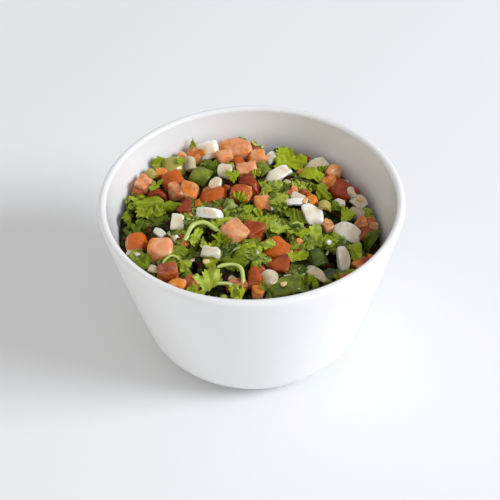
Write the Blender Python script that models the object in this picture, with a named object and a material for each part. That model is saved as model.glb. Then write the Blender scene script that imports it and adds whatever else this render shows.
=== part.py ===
"""A small white bowl of pico de gallo: diced tomato and onion, green chilli and chopped coriander.

Two solids are left in the scene: the bowl, and the heap that lies in it. Metres, +Z up,
with the origin on the table at the bowl's axis and the viewer on the -Y side.
"""

import math
import random
from dataclasses import dataclass

import bmesh
import bpy
import numpy as np
from mathutils import Matrix

MM = 0.001

# The bowl, a cone with a slightly full side, a round heel and a low foot ring
RIM_RADIUS = 57 * MM
BOWL_HEIGHT = 68 * MM
SIDE_RADIUS_AT_TABLE = 38.5 * MM
SIDE_FULLNESS = 0.75 * MM
HEEL_RADIUS = 17 * MM
WALL = 3.2 * MM
FLOOR_THICKNESS = 5 * MM
INNER_HEEL_RISE = 14 * MM
INNER_HEEL_RUN = 10.5 * MM
FOOT_RING_WIDTH = 3.5 * MM
FOOT_RECESS = 1.2 * MM
BOWL_SEGMENTS = 64

# The heap's finished level: a low dome that is fuller on the far left
LEVEL_AT_WALL = 52.5 * MM
DOME_RISE = 6 * MM
SLOPE_RISE = 4.5 * MM
SLOPE_HEADING = math.radians(140)
HEAP_RADIUS = 50 * MM
HEAP_TOP = 63.5 * MM

# Where the heap stays lower, so that a spoon has room, in millimetres: two corners on the plan, and the height
LOW_ROOFS = (
    (-38, -38, 38, 38, 61.3),
    (7, -31, 41, 29, 57.1),
)

# The core under the pieces that show
CORE_DEPTH = 3.8 * MM
CORE_BUMP = 0.8 * MM
CORE_SEGMENTS = 32
CORE_RINGS = 5
WALL_GAP = 0.6 * MM

# How pieces come to rest on what lies under them
CELL = 1 * MM
TIGHT = 0.05 * MM
DICE_REACH = 0.93
LEAF_REACH = 0.55
MAIN_REST_SHARE = 0.75
FILL_REST_SHARE = 0.6
FILL_RISE = 0.5 * MM
FIRST_FILL_NUMBER = 1011
FILL_TRIES = 1200
FILL_LACK = 2 * MM
MOST_CLAIMED = 0.25
HIDDEN_BY = 0.4 * MM
SHOWN_SHARE = 0.42

LEAF_SHEET = 0.55 * MM
LEAF_EDGE_POINTS = 8
STEM_SIDES = 5
STEM_JOINTS = 5

# How the viewer sees the heap: the eye's distance from the bowl's middle and its height in degrees, how far the
# picture is turned, its middle and its focal length in its own pixels, and the enlarged part that shows the heap
EYE_DISTANCE = 650 * MM
EYE_ELEVATION = math.radians(42.6)
PICTURE_TURN = math.radians(-1.45)
PICTURE_MIDDLE = (252.7, 264.7)
PICTURE_FOCAL = 1693.3
ENLARGED_FROM = (120, 125)
ENLARGED_BY = 5.926
PLACING_ROUNDS = 4
FIRST_REACH = 47 * MM
FARTHEST_REACH = 49 * MM

# The pieces that show most, in the order laid: where the middle is seen in the enlarged picture, across and down,
# read off by eye, then in millimetres and degrees the length, width, thickness, heading, lean towards the viewer,
# roll to the right, and how far the top may stand over the heap's level
MAIN_PIECES = (
    # At the back, under the wall
    ("tomato", 368, 190, 5, 4, 4, 20, 10, 0, 1.0),
    ("tomato", 805, 200, 7, 7, 6, 10, 0, 10, 1.4),
    ("onion", 895, 190, 6, 4, 3, 40, 15, 0, 1.0),
    ("tomato", 955, 182, 5, 4, 4, 20, 0, 0, 1.0),
    ("tomato", 1088, 212, 3, 4.5, 6, 60, 0, 10, 1.2),
    ("chilli", 850, 262, 6, 6, 4, 30, 10, 0, 1.2),
    ("tomato", 460, 178, 8.5, 7, 6, 25, 10, -10, 2.2),
    ("onion", 505, 140, 11, 8, 5, 12, 45, 0, 4.6),
    ("tomato", 690, 155, 14, 10, 8, 8, 8, 0, 3.0),
    ("tomato", 622, 195, 7, 6, 6, 15, 5, 0, 1.6),
    ("leaf", 425, 112, 8, 2.5, 1.5, 80, 65, 0, 6.0),
    ("leaf", 718, 66, 5, 6, 2, 20, 60, 0, 6.0),
    ("onion", 412, 240, 5.5, 7, 5, 10, 15, 0, 2.0),
    ("leaf", 545, 250, 9.5, 9, 3, 30, 25, 0, 1.8),
    ("tomato", 752, 272, 8.5, 6.5, 6, 5, 15, 0, 2.4),
    ("tomato", 705, 220, 4, 4, 3, 20, 35, 0, 3.2),
    ("leaf", 812, 305, 3.5, 3.5, 1.5, 70, 20, 0, 2.0),
    # At the back on the right
    ("leaf", 1275, 245, 6, 4, 2, 140, 40, 20, 1.4),
    ("onion", 1180, 228, 10, 6, 4.5, 28, 20, 0, 2.2),
    ("leaf", 1205, 262, 4.5, 5, 2, 60, 30, 0, 2.4),
    ("tomato", 1262, 285, 6, 6, 6, 10, 10, 0, 2.6),
    ("tomato", 1235, 352, 7, 6.5, 6, 20, 10, 0, 1.6),
    ("tomato", 1350, 388, 12.5, 10, 7, 22, 15, 0, 2.6),
    ("onion", 1372, 405, 3, 5.5, 2, 20, 30, 0, 3.0),
    ("leaf", 1000, 215, 15, 13, 3.5, 350, 25, 0, 2.8),
    ("leaf", 1145, 300, 13, 8, 3, 170, 15, 0, 2.6),
    ("onion", 925, 303, 13.5, 5.5, 4.2, 36, 15, 0, 3.4),
    ("leaf", 975, 365, 8.5, 4, 1.5, 45, 25, 0, 2.2),
    # On the left
    ("leaf", 50, 540, 14, 5, 2.5, 82, 0, 60, 1.8),
    ("leaf", 110, 615, 8, 9, 3, 80, 30, 30, 0.6),
    ("tomato", 90, 398, 6, 5, 5, 68, 0, 8, 0.8),
    ("tomato", 118, 350, 8, 6.5, 6, 66, 0, 8, 3.0),
    ("tomato", 248, 292, 5, 4.5, 4.5, 5, 5, 0, 1.8),
    ("leaf", 212, 212, 11, 8, 2, 60, 40, 50, 8.0),
    ("chilli", 182, 300, 5, 4.5, 4.5, 30, 10, 0, 2.2),
    ("chilli", 312, 248, 10, 9, 4.5, 5, 25, 0, 2.6),
    ("leaf", 355, 212, 4.5, 3, 1.5, 0, 20, 0, 3.4),
    ("tomato", 215, 412, 8, 5, 5, 0, 0, 0, 0.6),
    ("tomato", 315, 332, 9.5, 7.5, 6, 20, 20, -5, 2.8),
    ("tomato", 340, 395, 8, 7, 6, 10, 10, 0, 1.8),
    ("tomato", 405, 395, 8.5, 8.5, 7, -15, 15, 10, 2.4),
    ("tomato", 375, 490, 6, 8, 6, 5, 10, 0, 0.6),
    ("leaf", 205, 360, 9, 3.5, 1.5, 38, 20, 0, 3.0),
    ("leaf", 205, 572, 13, 14, 4, -25, 40, 0, 1.8),
    ("leaf", 225, 478, 19, 10, 4, 8, 20, 0, 3.0),
    ("onion", 335, 588, 8.5, 6, 4.5, 84, 35, 0, 2.2),
    ("tomato", 82, 712, 9, 8.5, 8, 10, 15, 15, 2.0),
    ("tomato", 235, 740, 11, 10, 8, 5, 20, 0, 2.8),
    # In the middle
    ("tomato", 760, 382, 3.5, 3, 3, 0, 0, 0, 1.6),
    ("onion", 562, 348, 6, 5, 4, 70, 20, 0, 1.4),
    ("onion", 620, 278, 6, 6.5, 4, 75, 20, 0, 2.2),
    ("chilli", 475, 305, 9, 8, 4.5, 60, 30, 0, 2.4),
    ("leaf", 668, 292, 6.5, 5.5, 2, 150, 20, 0, 2.8),
    ("tomato", 778, 362, 11, 4.5, 6, -42, 20, 10, 1.8),
    ("stem", 858, 390, 6, 2, 2, 100, 15, 0, 2.8),
    ("tomato", 712, 412, 9, 8, 6, -10, 15, 0, 1.8),
    ("leaf", 716, 420, 5.5, 6, 2, 60, 20, 0, 2.6),
    ("tomato", 552, 440, 12, 11, 8, -20, 25, 5, 3.0),
    ("onion", 535, 530, 11, 5.5, 4.2, -8, 40, 0, 3.2),
    ("leaf", 720, 480, 9, 3.5, 2, 5, 20, 0, 1.0),
    ("tomato", 850, 492, 8.5, 9.5, 8, 5, 15, 0, 2.4),
    ("leaf", 815, 530, 6, 5, 2, 120, 30, 0, 2.2),
    ("leaf", 928, 545, 6, 9, 3, 80, 20, 0, 1.4),
    ("leaf", 470, 580, 13, 5, 3, 15, 15, 0, 1.2),
    ("leaf", 590, 575, 13, 4.5, 2, 20, 20, 0, 2.4),
    ("tomato", 790, 636, 10, 8.5, 7, -15, 15, 0, 2.0),
    ("tomato", 680, 650, 10, 10.5, 9, 40, 15, 0, 3.0),
    ("leaf", 885, 655, 6, 5, 2, 160, 15, 0, 1.4),
    ("leaf", 940, 622, 9.5, 5.5, 2, 5, 15, 0, 2.2),
    # On the right
    ("tomato", 1450, 655, 5, 6, 5, 0, 0, 0, 0.4),
    ("onion", 1045, 425, 7, 4, 3, 0, 15, 0, 1.6),
    ("leaf", 1050, 350, 5, 5, 2, 90, 20, 0, 1.8),
    ("leaf", 1190, 400, 10, 9, 3, 320, 20, 0, 2.2),
    ("onion", 1300, 465, 5, 4, 3, 10, 20, 0, 1.0),
    ("onion", 1415, 455, 6.5, 5.5, 3, 130, 25, 0, 2.2),
    ("onion", 1400, 530, 5.5, 6.5, 4, 70, 20, 0, 1.4),
    ("tomato", 1425, 590, 6, 6, 6, 0, 10, 0, 1.8),
    ("leaf", 1265, 490, 5, 7, 3, 75, 20, 0, 1.6),
    ("leaf", 1335, 535, 8, 8, 3, 235, 25, 0, 2.4),
    ("chilli", 1205, 480, 5.5, 4, 4, -5, 5, 0, 2.4),
    ("onion", 1025, 465, 8.5, 3, 2.5, 0, 25, 0, 2.4),
    ("leaf", 1045, 565, 12, 12.5, 3.5, 255, 30, 0, 2.2),
    ("onion", 1145, 543, 11.5, 8, 4, -62, 30, 15, 3.2),
    ("tomato", 1135, 450, 4, 4.5, 3, -60, 10, 0, 3.4),
    ("tomato", 1228, 602, 4, 4.5, 3.5, 30, 20, 0, 1.8),
    ("leaf", 1160, 655, 10, 9, 3, 320, 20, 0, 2.0),
    ("onion", 1350, 640, 12, 8.5, 5.5, -20, 25, 8, 3.0),
    ("leaf", 1520, 665, 13, 6.5, 2, 40, 20, -35, 8.0),
    ("leaf", 1385, 750, 8.5, 9.5, 3, 290, 30, 0, 2.2),
    ("onion", 1325, 790, 11.5, 5.5, 3, 105, 30, 20, 2.8),
    # On the near side
    ("leaf", 150, 830, 12, 7, 3, -38, 15, 0, 0.8),
    ("onion", 195, 868, 5, 3, 2, -20, 10, 0, 1.2),
    ("leaf", 415, 760, 12, 7, 4, 92, 35, 25, 0.8),
    ("tomato", 420, 940, 6, 6, 5, 10, 0, 0, 0.4),
    ("tomato", 285, 875, 8.5, 6.5, 6, 0, 5, 0, 1.8),
    ("tomato", 335, 943, 7.5, 5, 4.5, -18, 5, 0, 1.6),
    ("tomato", 930, 835, 9.5, 8, 6, 0, 10, 0, -0.8),
    ("leaf", 440, 665, 10, 6, 3, 60, 25, 15, 1.6),
    ("leaf", 600, 680, 6, 9, 3, 80, 20, 20, 1.8),
    ("stem", 480, 622, 15, 8, 2.4, 12, 15, 0, 3.0),
    ("leaf", 555, 800, 11, 6, 3, 20, 15, 0, 1.4),
    ("leaf", 700, 820, 13, 11.5, 3.5, 195, 25, 0, 2.0),
    ("leaf", 505, 725, 5.5, 5, 2, 100, 20, 0, 2.2),
    ("onion", 545, 760, 8, 4.5, 3, -12, 20, 0, 2.6),
    ("tomato", 690, 950, 8, 6, 4, 20, 5, 0, 0.8),
    ("leaf", 540, 930, 13, 13, 4, 80, 30, 0, 1.8),
    ("stem", 670, 870, 13.5, 6.5, 2.2, -38, 15, 0, 3.0),
    ("stem", 640, 948, 10, 3, 2, -20, 15, 0, 2.4),
    ("leaf", 700, 1000, 7, 6, 3, 20, 20, 0, 1.8),
    ("tomato", 815, 990, 5, 5, 5, 0, 0, 0, 0.8),
    ("tomato", 808, 905, 6.5, 9, 8, -5, 5, 0, 2.2),
    ("onion", 890, 915, 7.5, 7.5, 5, 20, 15, 0, 2.6),
    ("leaf", 852, 955, 4, 3.5, 1.5, 100, 20, 0, 3.0),
    ("tomato", 930, 730, 15, 9.5, 4.5, 12, 30, 5, 2.8),
    ("leaf", 868, 720, 8.5, 5.5, 2, 170, 20, 0, 3.8),
    ("chilli", 1160, 795, 8.5, 8, 5, 20, 15, 0, 0.0),
    ("leaf", 1050, 785, 9, 6.5, 2.5, 25, 30, 0, 1.6),
    ("leaf", 1105, 722, 7, 2.5, 2, 75, 20, 0, 2.0),
    ("chilli", 1255, 885, 10, 5, 3, 20, 10, 0, -1.0),
    ("onion", 1165, 892, 10, 4.5, 3, -38, 15, 0, 1.2),
    ("chilli", 1005, 958, 17, 7.5, 4.5, 14, 15, 0, 2.8),
    ("leaf", 1125, 925, 7, 6, 2, 200, 15, 0, 2.6),
)

# Deep gaps that stay open between the pieces: x, y, radius
HOLLOWS = (
    (28.0, -15.5, 5.5),
    (-17.0, -6.5, 3.5),
    (-22.0, -22.5, 4.0),
    (8.0, 46.0, 5.5),
)

# What the rest is filled with: kind, share, then shortest and longest length, width and thickness
FILL_KINDS = (
    ("tomato", 0.26, (4, 8), (4, 7), (4, 6.5)),
    ("onion", 0.09, (4, 7), (3, 5.5), (2.2, 3.5)),
    ("leaf", 0.51, (7, 12), (6, 10), (2.5, 3.5)),
    ("chilli", 0.07, (4, 8), (4, 6), (3, 4)),
    ("stem", 0.07, (7, 13), (2, 5), (1.8, 2)),
)


@dataclass
class Piece:
    """One cut piece: its box, its place on the plan, how it is turned and how high it rests."""

    kind: str
    number: int
    x: float
    y: float
    size: tuple
    turns: tuple
    rise: float
    z: float = 0.0
    cover: tuple = ()

    def lattice(self):
        """Points spread through the piece's form, about its own middle."""
        steps = [np.linspace(-0.5, 0.5, count) for count in (7, 7, 4)]
        points = np.stack(np.meshgrid(*steps, indexing="ij"), -1).reshape(-1, 3)
        if self.kind == "leaf":
            points = points[np.hypot(points[:, 0], points[:, 1]) < LEAF_REACH]
        elif self.kind != "stem":
            points = points * DICE_REACH
        return points * np.array(self.size)

    def turned(self):
        heading, lean, roll = (math.radians(angle) for angle in self.turns)
        leaning = Matrix.Rotation(roll, 3, "Y") @ Matrix.Rotation(lean, 3, "X")
        return leaning @ Matrix.Rotation(heading, 3, "Z")

    def place(self):
        return Matrix.Translation((self.x, self.y, self.z)) @ self.turned().to_4x4()

    def dice(self):
        """The piece's own seeded draws, which don't depend on the order of the build."""
        return random.Random(self.number)


def outer_radius(z):
    """The bowl's outside radius at height z, above the heel."""
    share = z / (BOWL_HEIGHT - WALL / 2)
    slant = (RIM_RADIUS - SIDE_RADIUS_AT_TABLE) * share
    return SIDE_RADIUS_AT_TABLE + slant + SIDE_FULLNESS * 4 * share * (1 - share)


def inner_profile():
    """The inside wall as (r, z), from the floor up over the round of the inner heel to the lip."""
    points = []
    for angle in (0, 18, 36, 54, 72, 90):
        turn = math.radians(angle)
        z = FLOOR_THICKNESS + INNER_HEEL_RISE * (1 - math.cos(turn))
        points.append((outer_radius(z) - WALL - INNER_HEEL_RUN * (1 - math.sin(turn)), z))
    inner_bottom, lip = points[-1][1], BOWL_HEIGHT - WALL / 2
    heights = [inner_bottom + (lip - inner_bottom) * i / 4 for i in range(1, 4)]
    return points + [(outer_radius(z) - WALL, z) for z in heights]


def inner_radius(z):
    """The bowl's inside radius at height z, along the straight runs of its profile."""
    radii, heights = zip(*inner_profile(), (RIM_RADIUS - WALL, BOWL_HEIGHT - WALL / 2))
    return np.interp(z, heights, radii)


def heap_level(x, y):
    """The finished level of the heap over a point of the plan."""
    uphill = (x * math.cos(SLOPE_HEADING) + y * math.sin(SLOPE_HEADING)) / HEAP_RADIUS
    dome = 1 - (x**2 + y**2) / HEAP_RADIUS**2
    return LEVEL_AT_WALL + SLOPE_RISE * uphill + DOME_RISE * dome


def core_level(x, y):
    """The uneven top of the core, under the pieces."""
    bump = math.sin(x / (5 * MM)) * math.cos(y / (6 * MM)) + 0.5 * math.sin((x + y) / (3.5 * MM))
    return heap_level(x, y) - CORE_DEPTH + CORE_BUMP * bump


class Level:
    """How high the heap has come over each small square of the plan."""

    def __init__(self):
        self.half = math.ceil(RIM_RADIUS / CELL)
        count = 2 * self.half + 1
        self.height = np.empty((count, count))
        self.roof = np.full((count, count), HEAP_TOP)
        for i in range(count):
            for j in range(count):
                x, y = (i - self.half) * CELL, (j - self.half) * CELL
                self.height[i, j] = core_level(x, y)
                for left, near, right, far, top in LOW_ROOFS:
                    if left * MM < x < right * MM and near * MM < y < far * MM:
                        self.roof[i, j] = top * MM
        self.claimed = np.zeros(self.height.shape, dtype=bool)

    def cells(self, x, y):
        column = np.clip(np.rint(x / CELL).astype(int) + self.half, 0, 2 * self.half)
        row = np.clip(np.rint(y / CELL).astype(int) + self.half, 0, 2 * self.half)
        return column, row

    def at(self, x, y):
        return self.height[self.cells(np.float64(x), np.float64(y))]

    def settle(self, piece, rest_share, claims):
        """Lowers a piece until that share of its underside rests, inside the wall, and raises the level.

        A piece that claims its squares keeps them from the ones that don't. None comes over the roof.
        """
        points = piece.lattice() @ np.array(piece.turned()).T
        for _ in range(6):
            cells = self.cells(piece.x + points[:, 0], piece.y + points[:, 1])
            under = np.full(self.height.shape, np.inf)
            over = np.full(self.height.shape, -np.inf)
            np.minimum.at(under, cells, points[:, 2])
            np.maximum.at(over, cells, points[:, 2])
            met = np.isfinite(under)
            if not claims and self.claimed[met].mean() > MOST_CLAIMED:
                return False
            rest = float(np.quantile(self.height[met] - under[met], rest_share))
            cap = heap_level(piece.x, piece.y) + piece.rise - float(points[:, 2].max())
            roof = float((self.roof[met] - over[met]).min())
            piece.z = min(rest, cap, roof)
            reach = np.hypot(piece.x + points[:, 0], piece.y + points[:, 1])
            excess = float((reach - inner_radius(piece.z + points[:, 2])).max()) + WALL_GAP
            if excess < TIGHT:
                piece.cover = (met, piece.z + over[met])
                self.height[met] = np.maximum(self.height[met], piece.cover[1])
                self.claimed |= met & claims
                return True
            pull = 1 - 1.1 * excess / math.hypot(piece.x, piece.y)
            piece.x *= pull
            piece.y *= pull
        return False

    def shows(self, piece):
        """Whether enough of a laid piece is still on top of the heap to be seen."""
        squares, tops = piece.cover
        return float(np.mean(tops > self.height[squares] - HIDDEN_BY)) > SHOWN_SHARE


def sight_line(across, down):
    """The viewer's eye, and the way it looks at a point of the enlarged picture."""
    u = ENLARGED_FROM[0] + across / ENLARGED_BY - PICTURE_MIDDLE[0]
    v = ENLARGED_FROM[1] + down / ENLARGED_BY - PICTURE_MIDDLE[1]
    right = math.cos(PICTURE_TURN) * u + math.sin(PICTURE_TURN) * v
    below = math.cos(PICTURE_TURN) * v - math.sin(PICTURE_TURN) * u
    forward = np.array([0, math.cos(EYE_ELEVATION), -math.sin(EYE_ELEVATION)])
    upward = np.array([0, math.sin(EYE_ELEVATION), math.cos(EYE_ELEVATION)])
    eye = np.array([0, 0, BOWL_HEIGHT / 2]) - forward * EYE_DISTANCE
    return eye, forward * PICTURE_FOCAL - upward * below + np.array([right, 0, 0])


def spot_at(across, down, height, reach):
    """The point of the plan that shows there in the picture, at that height and within that reach."""
    eye, way = sight_line(across, down)
    spot = (eye + way * (height - eye[2]) / way[2])[:2]
    return spot * min(1, reach / math.hypot(*spot))


def first_spot(across, down):
    """Where the heap's own level shows there in the picture."""
    height = LEVEL_AT_WALL
    for _ in range(20):
        height = heap_level(*spot_at(across, down, height, FARTHEST_REACH * 2))
    return spot_at(across, down, height, FIRST_REACH)


def main_pieces(spots):
    """The pieces of the table, at these points of the plan."""
    made = []
    for (x, y), (kind, _, _, *size, heading, lean, roll, rise) in zip(spots, MAIN_PIECES):
        size = tuple(length * MM for length in size)
        made.append(Piece(kind, len(made), x, y, size, (heading, lean, roll), rise * MM))
    return made


def main_spots():
    """The plan of the main pieces, rounded to half a millimetre.

    How high a piece comes to rest decides where it has to lie to be seen in its place. So they are laid a few
    times over, and each time move most of the way there.
    """
    spots = [first_spot(across, down) for _, across, down, *_ in MAIN_PIECES]
    for _ in range(PLACING_ROUNDS):
        level = Level()
        for i, piece in enumerate(main_pieces(spots)):
            if level.settle(piece, MAIN_REST_SHARE, True):
                _, across, down, *_ = MAIN_PIECES[i]
                spots[i] = 0.3 * spots[i] + 0.7 * spot_at(across, down, piece.z, FARTHEST_REACH)
    return [[round(value / MM * 2) / 2 * MM for value in spot] for spot in spots]


def fill_piece(draw, number, x, y):
    """One more piece of a drawn kind, size and turn."""
    chosen = draw.random()
    for kind, share, *ranges in FILL_KINDS:
        chosen -= share
        if chosen < 0:
            break
    size = tuple(draw.uniform(*span) * MM for span in ranges)
    turns = (draw.uniform(0, 360), draw.gauss(8, 16), draw.gauss(0, 16))
    return Piece(kind, number, x, y, size, turns, FILL_RISE)


def in_hollow(x, y):
    return any(math.hypot(x - hx * MM, y - hy * MM) < radius * MM for hx, hy, radius in HOLLOWS)


def lay_heap():
    """Every piece that shows, in the order laid: the main ones, then more wherever the heap is low."""
    level = Level()
    laid = [piece for piece in main_pieces(main_spots()) if level.settle(piece, MAIN_REST_SHARE, True)]
    draw = random.Random(FIRST_FILL_NUMBER)
    for number in range(FIRST_FILL_NUMBER, FIRST_FILL_NUMBER + FILL_TRIES):
        radius = HEAP_RADIUS * math.sqrt(draw.random())
        angle = draw.uniform(0, math.tau)
        x, y = radius * math.cos(angle), radius * math.sin(angle)
        piece = fill_piece(draw, number, x, y)
        lacks = heap_level(x, y) - level.at(x, y) > FILL_LACK
        if lacks and not in_hollow(x, y) and level.settle(piece, FILL_REST_SHARE, False):
            laid.append(piece)
    return [piece for piece in laid if level.shows(piece)]


def new_object(name, mesh, collection=None):
    obj = bpy.data.objects.new(name, mesh)
    (collection or bpy.context.scene.collection).objects.link(obj)
    return obj


def mesh_of(bm, name):
    """The bmesh as a mesh, with its faces pointing out."""
    bmesh.ops.recalc_face_normals(bm, faces=bm.faces)
    mesh = bpy.data.meshes.new(name)
    bm.to_mesh(mesh)
    bm.free()
    return mesh


def material(name, colour, roughness, coat):
    """A plain Principled material: colour, gloss and a clear wet or glazed coat."""
    made = bpy.data.materials.new(name)
    made.use_nodes = True
    shader = made.node_tree.nodes["Principled BSDF"]
    shader.inputs["Base Color"].default_value = (*colour, 1)
    shader.inputs["Roughness"].default_value = roughness
    shader.inputs["Metallic"].default_value = 0
    shader.inputs["Coat Weight"].default_value = coat
    return made


def arc(centre, radius, start, end, steps):
    """Points (r, z) along an arc of the profile, angles in degrees."""
    angles = (math.radians(start + (end - start) * i / steps) for i in range(steps + 1))
    return [(centre[0] + radius * math.cos(a), centre[1] + radius * math.sin(a)) for a in angles]


def bowl_profile():
    """The bowl's half section as (r, z), from the middle of the underside to the middle of the floor."""
    slant = math.degrees(math.atan2(RIM_RADIUS - SIDE_RADIUS_AT_TABLE, BOWL_HEIGHT))
    heel_top = HEEL_RADIUS * (1 - math.sin(math.radians(slant)))
    heel_centre = outer_radius(heel_top) - HEEL_RADIUS * math.cos(math.radians(slant))
    ring_inside = heel_centre - FOOT_RING_WIDTH
    points = [(0, FOOT_RECESS), (ring_inside - FOOT_RECESS, FOOT_RECESS), (ring_inside, 0)]
    points += arc((heel_centre, HEEL_RADIUS), HEEL_RADIUS, -90, -slant, 6)
    lip = (RIM_RADIUS - WALL / 2, BOWL_HEIGHT - WALL / 2)
    heights = [heel_top + (lip[1] - heel_top) * i / 5 for i in range(1, 5)]
    points += [(outer_radius(z), z) for z in heights]
    points += arc(lip, WALL / 2, 0, 180, 6)
    return points + inner_profile()[::-1] + [(0, FLOOR_THICKNESS)]


def make_bowl():
    """The bowl, spun from its half section."""
    bm = bmesh.new()
    corners = [bm.verts.new((r, 0, z)) for r, z in bowl_profile()]
    edges = [bm.edges.new(pair) for pair in zip(corners, corners[1:])]
    bmesh.ops.spin(bm, geom=corners + edges, cent=(0, 0, 0), axis=(0, 0, 1), angle=math.tau,
                   steps=BOWL_SEGMENTS, use_merge=True)
    bmesh.ops.remove_doubles(bm, verts=bm.verts, dist=0.01 * MM)
    mesh = mesh_of(bm, "bowl")
    mesh.shade_smooth()
    mesh.set_sharp_from_angle(angle=math.radians(50))
    mesh.materials.append(material("glazed_porcelain", (0.86, 0.86, 0.85), 0.12, 0.6))
    return new_object("bowl", mesh)


def side_radius(z):
    """The core's radius at height z, just inside the wall."""
    return float(inner_radius(z)) - WALL_GAP


def shoulder_radius(angle):
    """The core's radius where its side meets its uneven top."""
    edge = HEAP_RADIUS
    for _ in range(4):
        edge = side_radius(core_level(edge * math.cos(angle), edge * math.sin(angle)))
    return edge


def core_ring(bm, radius_at, height_at):
    """One ring of the core's points."""
    ring = []
    for i in range(CORE_SEGMENTS):
        angle = math.tau * i / CORE_SEGMENTS
        radius = radius_at(angle)
        x, y = radius * math.cos(angle), radius * math.sin(angle)
        ring.append(bm.verts.new((x, y, height_at(x, y))))
    return ring


def bridge(bm, lower, upper):
    for i in range(len(lower)):
        j = (i + 1) % len(lower)
        bm.faces.new((lower[i], lower[j], upper[j], upper[i]))


def make_core():
    """The packed inside of the heap: the bowl's inner form, closed by an uneven top."""
    bm = bmesh.new()
    bottom = FLOOR_THICKNESS + WALL_GAP
    side = [bottom, FLOOR_THICKNESS + INNER_HEEL_RISE / 4, FLOOR_THICKNESS + INNER_HEEL_RISE]
    rings = [core_ring(bm, lambda angle, z=z: side_radius(z), lambda x, y, z=z: z) for z in side]
    for i in range(CORE_RINGS):
        share = 1 - i / CORE_RINGS
        rings.append(core_ring(bm, lambda angle, share=share: shoulder_radius(angle) * share, core_level))
    for lower, upper in zip(rings, rings[1:]):
        bridge(bm, lower, upper)
    for ring, z in ((rings[0], bottom), (rings[-1], core_level(0, 0))):
        middle = bm.verts.new((0, 0, z))
        for i in range(CORE_SEGMENTS):
            bm.faces.new((ring[i], ring[(i + 1) % CORE_SEGMENTS], middle))
    bmesh.ops.triangulate(bm, faces=bm.faces)
    return new_object("pico_de_gallo", mesh_of(bm, "pico_de_gallo"))


def block_corners(piece, least):
    """A cut piece's eight corners, drawn inwards from its box, so that no two faces are parallel."""
    draw = piece.dice()
    corners = {}
    for u in (-1, 1):
        for v in (-1, 1):
            for w in (-1, 1):
                pull = [draw.uniform(least, 1) for _ in range(3)]
                corners[u, v, w] = tuple(s * p * d / 2 for s, p, d in zip((u, v, w), pull, piece.size))
    return corners


def block_point(corners, u, v, w):
    """The point at (u, v, w), each from -1 to 1, between a block's corners."""
    point = np.zeros(3)
    for (cu, cv, cw), corner in corners.items():
        point += np.array(corner) * (1 + u * cu) * (1 + v * cv) * (1 + w * cw) / 8
    return point


def block(piece, least, arch):
    """A dice or slab. arch is how far its middle rises over its ends, as a share of its thickness."""
    corners = block_corners(piece, least)
    stations = (-1, 0, 1) if arch else (-1, 1)
    lift = arch * piece.size[2]
    bm = bmesh.new()
    loops = []
    for u in stations:
        loop = []
        for v, w in ((-1, -1), (1, -1), (1, 1), (-1, 1)):
            point = block_point(corners, u, v, w)
            point[2] = point[2] * (1 - arch) + lift * (0.5 - u * u)
            loop.append(bm.verts.new(point))
        loops.append(loop)
    for lower, upper in zip(loops, loops[1:]):
        bridge(bm, lower, upper)
    bm.faces.new(loops[0])
    bm.faces.new(loops[-1])
    bmesh.ops.triangulate(bm, faces=bm.faces)
    return mesh_of(bm, piece.kind)


def leaf_radius(angle):
    """The outline of a three-lobed leaf about its middle, from 0 to 1, with its stalk at 180 degrees."""
    lobes = 0.78 + 0.22 * math.cos(3 * angle)
    off_stalk = (angle % math.tau) - math.pi
    return lobes * (1 - 0.45 * math.exp(-((off_stalk / 0.4) ** 2)))


def leaf(piece):
    """A thin wavy leaf, both of its faces split into triangles alike."""
    length, width, space = piece.size
    draw = piece.dice()
    ripple = draw.uniform(0, math.tau)
    bm = bmesh.new()
    sheets = []
    for side in (-1, 1):
        edge = []
        for i in range(LEAF_EDGE_POINTS):
            angle = math.tau * i / LEAF_EDGE_POINTS
            radius = leaf_radius(angle) / 2
            wave = (space - LEAF_SHEET) / 2 * math.sin(2 * angle + ripple)
            point = (length * radius * math.cos(angle), width * radius * math.sin(angle),
                     wave + side * LEAF_SHEET / 2)
            edge.append(bm.verts.new(point))
        middle = bm.verts.new((0, 0, side * LEAF_SHEET / 2))
        sheets.append(edge)
        for i in range(LEAF_EDGE_POINTS):
            bm.faces.new((edge[i], edge[(i + 1) % LEAF_EDGE_POINTS], middle))
    bridge(bm, *sheets)
    bmesh.ops.triangulate(bm, faces=bm.faces)
    return mesh_of(bm, piece.kind)


def stem(piece):
    """A short length of stalk, bent in an arc as wide as its box."""
    length, width, thickness = piece.size
    radius = thickness / 2
    bm = bmesh.new()
    loops = []
    for i in range(STEM_JOINTS):
        share = 2 * i / (STEM_JOINTS - 1) - 1
        x = share * (length / 2 - radius)
        y = (width / 2 - radius) * (1 - 2 * share**2)
        tilt = math.atan2(-4 * share * (width / 2 - radius), length / 2 - radius)
        loop = []
        for k in range(STEM_SIDES):
            angle = math.tau * k / STEM_SIDES
            out, up = radius * math.cos(angle), radius * math.sin(angle)
            loop.append(bm.verts.new((x - out * math.sin(tilt), y + out * math.cos(tilt), up)))
        loops.append(loop)
    for lower, upper in zip(loops, loops[1:]):
        bridge(bm, lower, upper)
    bm.faces.new(loops[0])
    bm.faces.new(loops[-1])
    bmesh.ops.triangulate(bm, faces=bm.faces)
    return mesh_of(bm, piece.kind)


SHAPES = {
    "tomato": lambda piece: block(piece, 0.74, 0),
    "onion": lambda piece: block(piece, 0.8, 0.35),
    "chilli": lambda piece: block(piece, 0.8, 0.4),
    "leaf": leaf,
    "stem": stem,
}


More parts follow.
